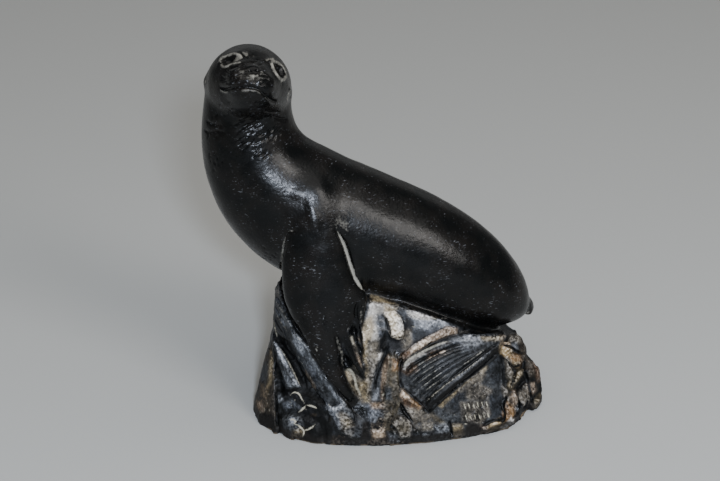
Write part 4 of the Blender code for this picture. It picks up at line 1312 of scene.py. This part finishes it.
    def hollows(self, places: np.ndarray, normals: np.ndarray) -> np.ndarray:
        """How deep each point lies under the smoothed surface.

        Args:
            places: Points of the mesh.
            normals: Their normals.

        Returns:
            One depth in millimetres for each point.
        """
        mesh = self.stone.data
        edges = np.empty(len(mesh.edges) * 2, np.int64)
        mesh.edges.foreach_get("vertices", edges)
        a, b = edges.reshape(-1, 2).T
        count = len(places)
        ties = np.bincount(a, minlength=count) + np.bincount(b, minlength=count)
        even = places.copy()
        for _ in range(self.levelled):
            pulled = np.stack([
                np.bincount(a, even[b, axis], count) + np.bincount(b, even[a, axis], count)
                for axis in range(3)], axis=1)
            even = 0.5 * even + 0.5 * pulled / np.maximum(ties, 1)[:, None]
        return ((even - places) * normals).sum(axis=1) / MM

    def colour(self) -> None:
        """Stores how worn, deep and stained each point is, and its pale paint and dark wiping, which
        are partly dusting and partly painted highlight and shade.
        """
        places, normals = self.places()
        animal, fan = self.worn(places)
        dust = np.zeros(len(places))
        for path, cut in self.laid([cut for cut in self.cuts if cut.dust]):
            near, share = self.bite(places, path, cut)
            dust[near] += cut.dust * share
        deep = self.hollows(places, normals)
        self.store("worn", np.maximum(animal, self.rubbed * fan))
        self.store("dust", np.clip(0.5 + 0.5 * dust, 0, 1))
        self.store("deep", np.clip(0.5 + deep / self.told, 0, 1))
        stain = self.stone.data.attributes.new("stain", "FLOAT_COLOR", "POINT")
        stain.data.foreach_set("color", self.stained(places, normals).ravel())

    def store(self, name: str, values: np.ndarray) -> None:
        """Stores one number for each point of the mesh."""
        made = self.stone.data.attributes.new(name, "FLOAT", "POINT")
        made.data.foreach_set("value", values.astype(np.float32))

    def stained(self, places: np.ndarray, normals: np.ndarray) -> np.ndarray:
        """Mixes the stains of the rock: cloudy ones all round, and the flats' own in front.

        Args:
            places: Points of the mesh.
            normals: Their normals.

        Returns:
            Red, green, blue and strength for each point.
        """
        tints = np.array([tint.light for tint in self.cloudy])
        colour = np.empty((len(places), 4))
        wide, fine = self.clouds
        for i, place in enumerate(places):
            at = Vector(place) * 1000
            pick = 0.5 + 0.75 * noise.noise(at / wide)
            colour[i] = tints[min(max(int(pick * len(tints)), 0), len(tints) - 1)]
            colour[i, 3] = 0.8 + 0.3 * noise.noise(at / fine + Vector((9, 0, 0)))
        drawn, seen = self.seen(places, normals)
        colour[:, 3] *= 1 - 0.7 * seen
        for facet in RockFlats().facets():
            share = self.inside(drawn, facet.outline, facet.soft) * seen
            mixed = np.array(facet.tint.light)
            mixed[3] = facet.cover
            colour += (mixed - colour) * share[:, None]
        return colour


def add(
    tree: NodeTree, kind: str, feeds: dict[str, object] | tuple[object, ...] = (),
    output: int | str = 0, **settings: object
) -> NodeSocket:
    """Adds a node, sets it and feeds its inputs.

    Args:
        tree: The node tree.
        kind: Type of the node, without the word ShaderNode.
        feeds: Numbers, colours or sockets for its inputs, in their order or by name.
        output: The output that is wanted, by place or name.
        **settings: The node's own settings.

    Returns:
        The wanted output.
    """
    node = tree.nodes.new("ShaderNode" + kind)
    for name, value in settings.items():
        setattr(node, name, value)
    for name, value in feeds.items() if isinstance(feeds, dict) else enumerate(feeds):
        if isinstance(value, NodeSocket):
            tree.links.new(value, node.inputs[name])
        else:
            node.inputs[name].default_value = value
    return node.outputs[output]


@dataclass(frozen=True)
class Pattern:
    """Noise that breaks up the stone.

    Attributes:
        size: Width of its patches.
        detail: How finely they are broken up.
        slant: How much they lean to the right, in degrees.
        stretch: How many times longer than wide they are.
    """

    size: float
    detail: float
    slant: float = 0.0
    stretch: float = 1.0

    def lay(self, new: Adder, place: NodeSocket) -> NodeSocket:
        """Lays the pattern on the object's own coordinates.

        Args:
            new: Adds a node to the material.
            place: The coordinates.

        Returns:
            The strength of the noise.
        """
        if self.stretch != 1.0:
            turn = (0, math.radians(self.slant), 0)
            place = new(
                "Mapping", {"Vector": place, "Rotation": turn, "Scale": (self.stretch, 1.0, 1.0)},
                vector_type="TEXTURE")
        return new("TexNoise", {"Vector": place, "Scale": 1 / (self.size * MM), "Detail": self.detail})


@dataclass(frozen=True)
class WaxedSteatite:
    """Black soapstone, rubbed smooth and waxed on the animal and left tooled on the rock.

    The wax gives the dark skin a soft wide gloss that small bumps break up. The rock is black in its
    hollows, stained on its flats, and pale dusting stays in its cuts; the same pale paint on raised
    strokes, and the pale scratches, are painted highlight. A pattern that is finer than
    the eye sees from here is drawn as coarse as shows: the specks, scratches and flecks.

    Attributes:
        wax: Least roughness of the waxed skin.
        bare: Least roughness of the stained rock.
        mottling: How much the roughness varies.
        ior: Index of refraction of the wax.
        specular: How strongly it shines, 0.5 for a clean clear coat.
        patch: Patches on the rock.
        grit: The grains of the rock.
        speck: Its finest specks.
        streak: Streaks that the chisel left in the stains.
        rasped: Straight scratches of the rasp, pale and dark in turn; the pale ones also stand in as
        painted glints.
        crowd: Loose crowds of the flecks.
        fleck: Short level scratches in the skin.
        cloud: Cloudy patches in the skin.
        dent: Small bumps of the skin.
        dented: How high the bumps are.
        grained: How high the grains are.
        coated: From which strength a stain starts to cover the stone, and from which it is full.
        varied: The range of the patches, streaks, grains and specks that lights a stain.
        contrast: How strongly they light it.
        lit: How bright a stain is at the least, and how much brighter it gets.
        evened: Which stains are lit more evenly: from which brightness, to which, and how much.
        skirt: Height where the dark band at the foot starts, and where it is full.
    """

    wax: float = 0.17
    bare: float = 0.5
    mottling: float = 0.2
    ior: float = 1.5
    specular: float = 0.18
    patch: Pattern = Pattern(3.0, 6)
    grit: Pattern = Pattern(0.75, 4)
    speck: Pattern = Pattern(0.4, 2)
    streak: Pattern = Pattern(0.75, 3, 78.0, 4.0)
    rasped: tuple[Pattern, ...] = tuple(Pattern(0.3, 1, slant, 10.0) for slant in (48, 35, -30, -62))
    crowd: Pattern = Pattern(7.0, 3)
    fleck: Pattern = Pattern(0.285, 2)
    cloud: Pattern = Pattern(7.0, 5)
    dent: Pattern = Pattern(0.8, 5)
    dented: float = 0.05
    grained: float = 0.14
    coated: tuple[float, float] = (0.95, 1.6)
    varied: tuple[float, float] = (1.0, 1.7)
    contrast: float = 1.6
    lit: tuple[float, float] = (0.16, 1.7)
    evened: tuple[float, float, float] = (0.1, 0.35, 0.7)
    skirt: tuple[float, float] = (1.8, 0.6)

    def material(self) -> Material:
        """Builds the material.

        Returns:
            The material, which reads the attributes of the carving.
        """
        made = bpy.data.materials.new("waxed_steatite")
        made.use_nodes = True
        shader = made.node_tree.nodes["Principled BSDF"]
        new = partial(add, made.node_tree)
        of = self.ground(new)
        cover, rock = self.rock(new, of)
        base = new("MixRGB", (of["worn"], rock, self.skin(new, of)))
        pale, base = self.lay_dust_and_painted_light(new, of, base)
        dull = new("Math", (cover, pale), operation="MAXIMUM")
        finish = {
            "Base Color": base, "Roughness": self.gloss(new, of, dull), "Normal": self.bumps(new, of)}
        for name, socket in finish.items():
            made.node_tree.links.new(socket, shader.inputs[name])
        shader.inputs["IOR"].default_value = self.ior
        shader.inputs["Specular IOR Level"].default_value = self.specular
        return made

    def ground(self, new: Adder) -> Sockets:
        """Reads the carving's attributes and lays the patterns that several parts share.

        Args:
            new: Adds a node to the material.

        Returns:
            Sockets by name.
        """
        place = new("TexCoord", output="Object")
        of = {"place": place, "patch": self.patch.lay(new, place), "grit": self.grit.lay(new, place)}
        for name in ("worn", "dust", "deep"):
            of[name] = new("Attribute", output="Fac", attribute_name=name)
        for name, output in (("stain", "Color"), ("strength", "Alpha")):
            of[name] = new("Attribute", output=output, attribute_name="stain")
        return of

    def rock(self, new: Adder, of: Sockets) -> tuple[NodeSocket, NodeSocket]:
        """Colour of the tooled rock: stained flats, black hollows, pale edges and a dark foot.

        Args:
            new: Adds a node to the material.
            of: The shared sockets.

        Returns:
            How much stain covers the stone, and the colour.
        """
        cover = new("Math", (of["strength"], of["patch"]), operation="ADD")
        cover = new("Math", (of["grit"], 0.5, cover), operation="MULTIPLY_ADD")
        cover = new("MapRange", (cover, *self.coated))
        dark = new("MapRange", (of["patch"], 0.4, 0.62))
        base = new("MixRGB", (dark, Tint.JET.light, Tint.CHARCOAL.light))
        shade = new("HueSaturation", {"Color": of["stain"], "Value": self.shading(new, of)})
        base = new("MixRGB", (cover, base, shade))
        bright = new("HueSaturation", {"Color": of["stain"], "Value": 2.4, "Saturation": 0.6})
        # Pale and dark scratches in turn; the pale ones also stand in as painted glints.
        for scratches, colour in zip(self.rasped, cycle((bright, Tint.JET.light))):
            marks = scratches.lay(new, of["place"])
            marks = new("Math", (of["patch"], 0.3, marks), operation="MULTIPLY_ADD")
            base = new("MixRGB", (new("MapRange", (marks, 0.83, 0.9, 0.0, 0.7)), base, colour))
        hollow = new("MapRange", (of["deep"], 0.54, 0.78))
        unstained = new("MapRange", (of["strength"], 1.0, 0.5))
        hollow = new("Math", (hollow, unstained), operation="MULTIPLY")
        base = new("MixRGB", (hollow, base, Tint.JET.light))
        edge = new("MapRange", (of["deep"], 0.44, 0.24))
        broken = new("MapRange", (of["grit"], 0.44, 0.66))
        edge = new("Math", (edge, broken), operation="MULTIPLY")
        base = new("MixRGB", (edge, base, bright))
        return cover, self.footed(new, of, base)

    def shading(self, new: Adder, of: Sockets) -> NodeSocket:
        """How brightly the stains show, more evenly where they are pale.

        Args:
            new: Adds a node to the material.
            of: The shared sockets.

        Returns:
            What their colour is multiplied by.
        """
        streak, speck = (pattern.lay(new, of["place"]) for pattern in (self.streak, self.speck))
        light = of["patch"]
        for pattern, share in ((streak, 0.8), (of["grit"], 0.5), (speck, 0.35)):
            light = new("Math", (pattern, share, light), operation="MULTIPLY_ADD")
        light = new("MapRange", (light, *self.varied))
        light = new("Math", (light, self.contrast), operation="POWER")
        least, gain = self.lit
        light = new("Math", (light, gain, least), operation="MULTIPLY_ADD")
        start, full, share = self.evened
        even = new("MapRange", (new("RGBToBW", (of["stain"],)), start, full, 0.0, share))
        return new("MixRGB", (even, light, (1.0, 1.0, 1.0, 1.0)))

    def footed(self, new: Adder, of: Sockets, base: NodeSocket) -> NodeSocket:
        """Darkens the rock at its foot, with a pale line of painted reflection along the very edge.

        Args:
            new: Adds a node to the material.
            of: The shared sockets.
            base: The colour of the rock.

        Returns:
            The colour.
        """
        height = new("SeparateXYZ", (of["place"],), "Z")
        uneven = new("Math", (of["patch"], -3.4 * MM, height), operation="MULTIPLY_ADD")
        start, full = self.skirt
        foot = new("MapRange", (uneven, start * MM, full * MM, 0.0, 0.85))
        base = new("MixRGB", (foot, base, Tint.UMBER_BLACK.light))
        # A pale line along the very edge: painted reflection.
        rim = new("MapRange", (height, 0.45 * MM, 0.25 * MM))
        broken = new("MapRange", (of["patch"], 0.5, 0.56))
        rim = new("Math", (rim, broken), operation="MULTIPLY")
        return new("MixRGB", (rim, base, Tint.SAND.light))

    def skin(self, new: Adder, of: Sockets) -> NodeSocket:
        """Colour of the waxed skin: near black, cloudy, with a few pale level flecks.

        Args:
            new: Adds a node to the material.
            of: The shared sockets.

        Returns:
            The colour.
        """
        cloud = new("MapRange", (self.cloud.lay(new, of["place"]), 0.4, 0.7))
        base = new("MixRGB", (cloud, Tint.JET.light, Tint.UMBER_BLACK.light))
        level = new("Mapping", {"Vector": of["place"], "Scale": (0.3, 0.3, 1.0)})
        crowd = self.crowd.lay(new, of["place"])
        marks = new("Math", (crowd, 0.35, self.fleck.lay(new, level)), operation="MULTIPLY_ADD")
        return new("MixRGB", (new("MapRange", (marks, 0.84, 0.98, 0.0, 0.4)), base, Tint.MIST.light))

    def lay_dust_and_painted_light(
        self, new: Adder, of: Sockets, base: NodeSocket
    ) -> tuple[NodeSocket, NodeSocket]:
        """Lays pale paint on the marks: dusting in cuts, painted highlight on raised strokes.
        Wipes others dark, some of them as painted shade.

        Args:
            new: Adds a node to the material.
            of: The shared sockets.
            base: The colour under the dust.

        Returns:
            How much dust there is, and the colour.
        """
        dust = new("Math", (of["grit"], 0.4, of["dust"]), operation="MULTIPLY_ADD")
        fainter = new("MapRange", (of["worn"], 0.0, 1.0, 1.0, 0.6))
        pale = new("Math", (new("MapRange", (dust, 0.82, 1.1)), fainter), operation="MULTIPLY")
        # Pale on the marks: dusting in the cuts, and painted highlight on raised strokes.
        dust_and_highlight_tint = new("MixRGB", (of["worn"], Tint.CHALK.light, Tint.SILVER.light))
        base = new("MixRGB", (pale, base, dust_and_highlight_tint))
        # Marks with a negative amount are wiped dark, in places as painted shade.
        wiped_dark_and_shade = new("MapRange", (of["dust"], 0.42, 0.1))
        return pale, new("MixRGB", (wiped_dark_and_shade, base, Tint.JET.light))

    def gloss(self, new: Adder, of: Sockets, dull: NodeSocket) -> NodeSocket:
        """Roughness: waxed where the stone is black, dull where it is stained or painted pale.

        Args:
            new: Adds a node to the material.
            of: The shared sockets.
            dull: How stained it is, and how much pale paint, dusting and painted highlight, it holds.

        Returns:
            The roughness.
        """
        tooled = new("Math", (1.0, of["worn"]), operation="SUBTRACT")
        dull = new("Math", (dull, tooled), operation="MULTIPLY")
        rough = new("MapRange", (dull, 0.0, 1.0, self.wax, self.bare))
        return new("Math", (of["patch"], self.mottling, rough), operation="MULTIPLY_ADD")

    def bumps(self, new: Adder, of: Sockets) -> NodeSocket:
        """Small dents all over, and sharper grains on the rock.

        Args:
            new: Adds a node to the material.
            of: The shared sockets.

        Returns:
            The normal.
        """
        dents = self.dent.lay(new, of["place"])
        normal = new("Bump", {"Height": dents, "Distance": self.dented * MM, "Strength": 1.0})
        strength = new("MapRange", (of["worn"], 0.0, 1.0, 1.0, 0.35))
        return new("Bump", {
            "Height": of["grit"], "Distance": self.grained * MM, "Strength": strength,
            "Normal": normal})


@dataclass(frozen=True)
class PaintedBoard:
    """Pale matt board: emulsion paint, rolled, with almost no gloss.

    Attributes:
        colour: Its colour.
        roughness: Its roughness.
    """

    colour: str = "#a4a6a4"
    roughness: float = 0.8

    def material(self) -> Material:
        """Builds the material.

        Returns:
            The material.
        """
        made = bpy.data.materials.new("painted_board")
        made.use_nodes = True
        shader = made.node_tree.nodes["Principled BSDF"]
        shader.inputs["Base Color"].default_value = linear(self.colour)
        shader.inputs["Roughness"].default_value = self.roughness
        return made


@dataclass(frozen=True)
class Lamp:
    """A soft rectangular light that is turned to the carving.

    Attributes:
        name: Its name.
        turn: Where it hangs round the carving, in degrees, 0 in front and growing to the right.
        rise: How far above level it hangs, in degrees.
        distance: How far from the carving, in metres.
        size: Its width and height in metres.
        power: Its power in watts.
        colour: Its colour.
    """

    name: str
    turn: float
    rise: float
    distance: float
    size: tuple[float, float]
    power: float
    colour: str

    def hang(self, aim: Vector) -> None:
        """Adds the light.

        Args:
            aim: The point that it is turned to.
        """
        turn, rise = math.radians(self.turn), math.radians(self.rise)
        away = Vector((
            math.sin(turn) * math.cos(rise), -math.cos(turn) * math.cos(rise), math.sin(rise)))
        rotation = away.to_track_quat("Z", "Y").to_euler()
        bpy.ops.object.light_add(
            type="AREA", location=aim + away * self.distance, rotation=rotation)
        light = bpy.context.object
        light.name = self.name
        light.data.shape = "RECTANGLE"
        light.data.size, light.data.size_y = self.size
        light.data.energy = self.power
        light.data.color = linear(self.colour)[:3]


@dataclass(frozen=True)
class Studio:
    """The floor, the lights and the surroundings.

    Attributes:
        floor: Width of the floor in metres.
        surround: Strength of the even light from all round.
        sky: Colour of that light.
        aim: The point that the lights are turned to, in metres.
        lamps: The lights.
    """

    floor: float = 6.0
    surround: float = 0.17
    sky: str = "#d8dadd"
    aim: tuple[float, float, float] = (0, 0, 0.055)
    lamps: tuple[Lamp, ...] = (
        Lamp("flash", 5, 26, 0.62, (0.05, 0.05), 4.9, "#e4eeff"),
        Lamp("window", 41, 34, 0.95, (0.3, 0.36), 4.9, "#fefaf6"),
        Lamp("ceiling", 10, 78, 1.3, (1.6, 1.6), 14.0, "#fffaf5"),
        Lamp("wall", 180, 22, 1.3, (1.6, 0.7), 1.0, "#f4f6f4"),
    )

    def build(self) -> None:
        """Sets up the floor, the lights and the surroundings."""
        bpy.ops.mesh.primitive_plane_add(size=self.floor, location=(0, 0, -0.0001))
        floor = bpy.context.object
        floor.name = "floor"
        floor.data.materials.append(PaintedBoard().material())
        for lamp in self.lamps:
            lamp.hang(Vector(self.aim))
        world = bpy.context.scene.world or bpy.data.worlds.new("surroundings")
        bpy.context.scene.world = world
        world.use_nodes = True
        background = world.node_tree.nodes["Background"]
        background.inputs["Color"].default_value = linear(self.sky)
        background.inputs["Strength"].default_value = self.surround


def main() -> None:
    """Builds the carving, dresses it and lights it."""
    logging.basicConfig(level=logging.INFO, format="%(name)s: %(message)s")
    sheet = Sheet()
    sheet.camera()
    cuts = Face().cuts() + Flippers().cuts() + RockMarks().cuts()
    stone = Carving(sheet, cuts=cuts).build()
    stone.data.materials.clear()
    stone.data.materials.append(WaxedSteatite().material())
    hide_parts(NODE)
    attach(stone, "root")
    LOG.info("%s: %d faces", stone.name, len(stone.data.polygons))
    Studio().build()


if __name__ == "__main__":
    main()
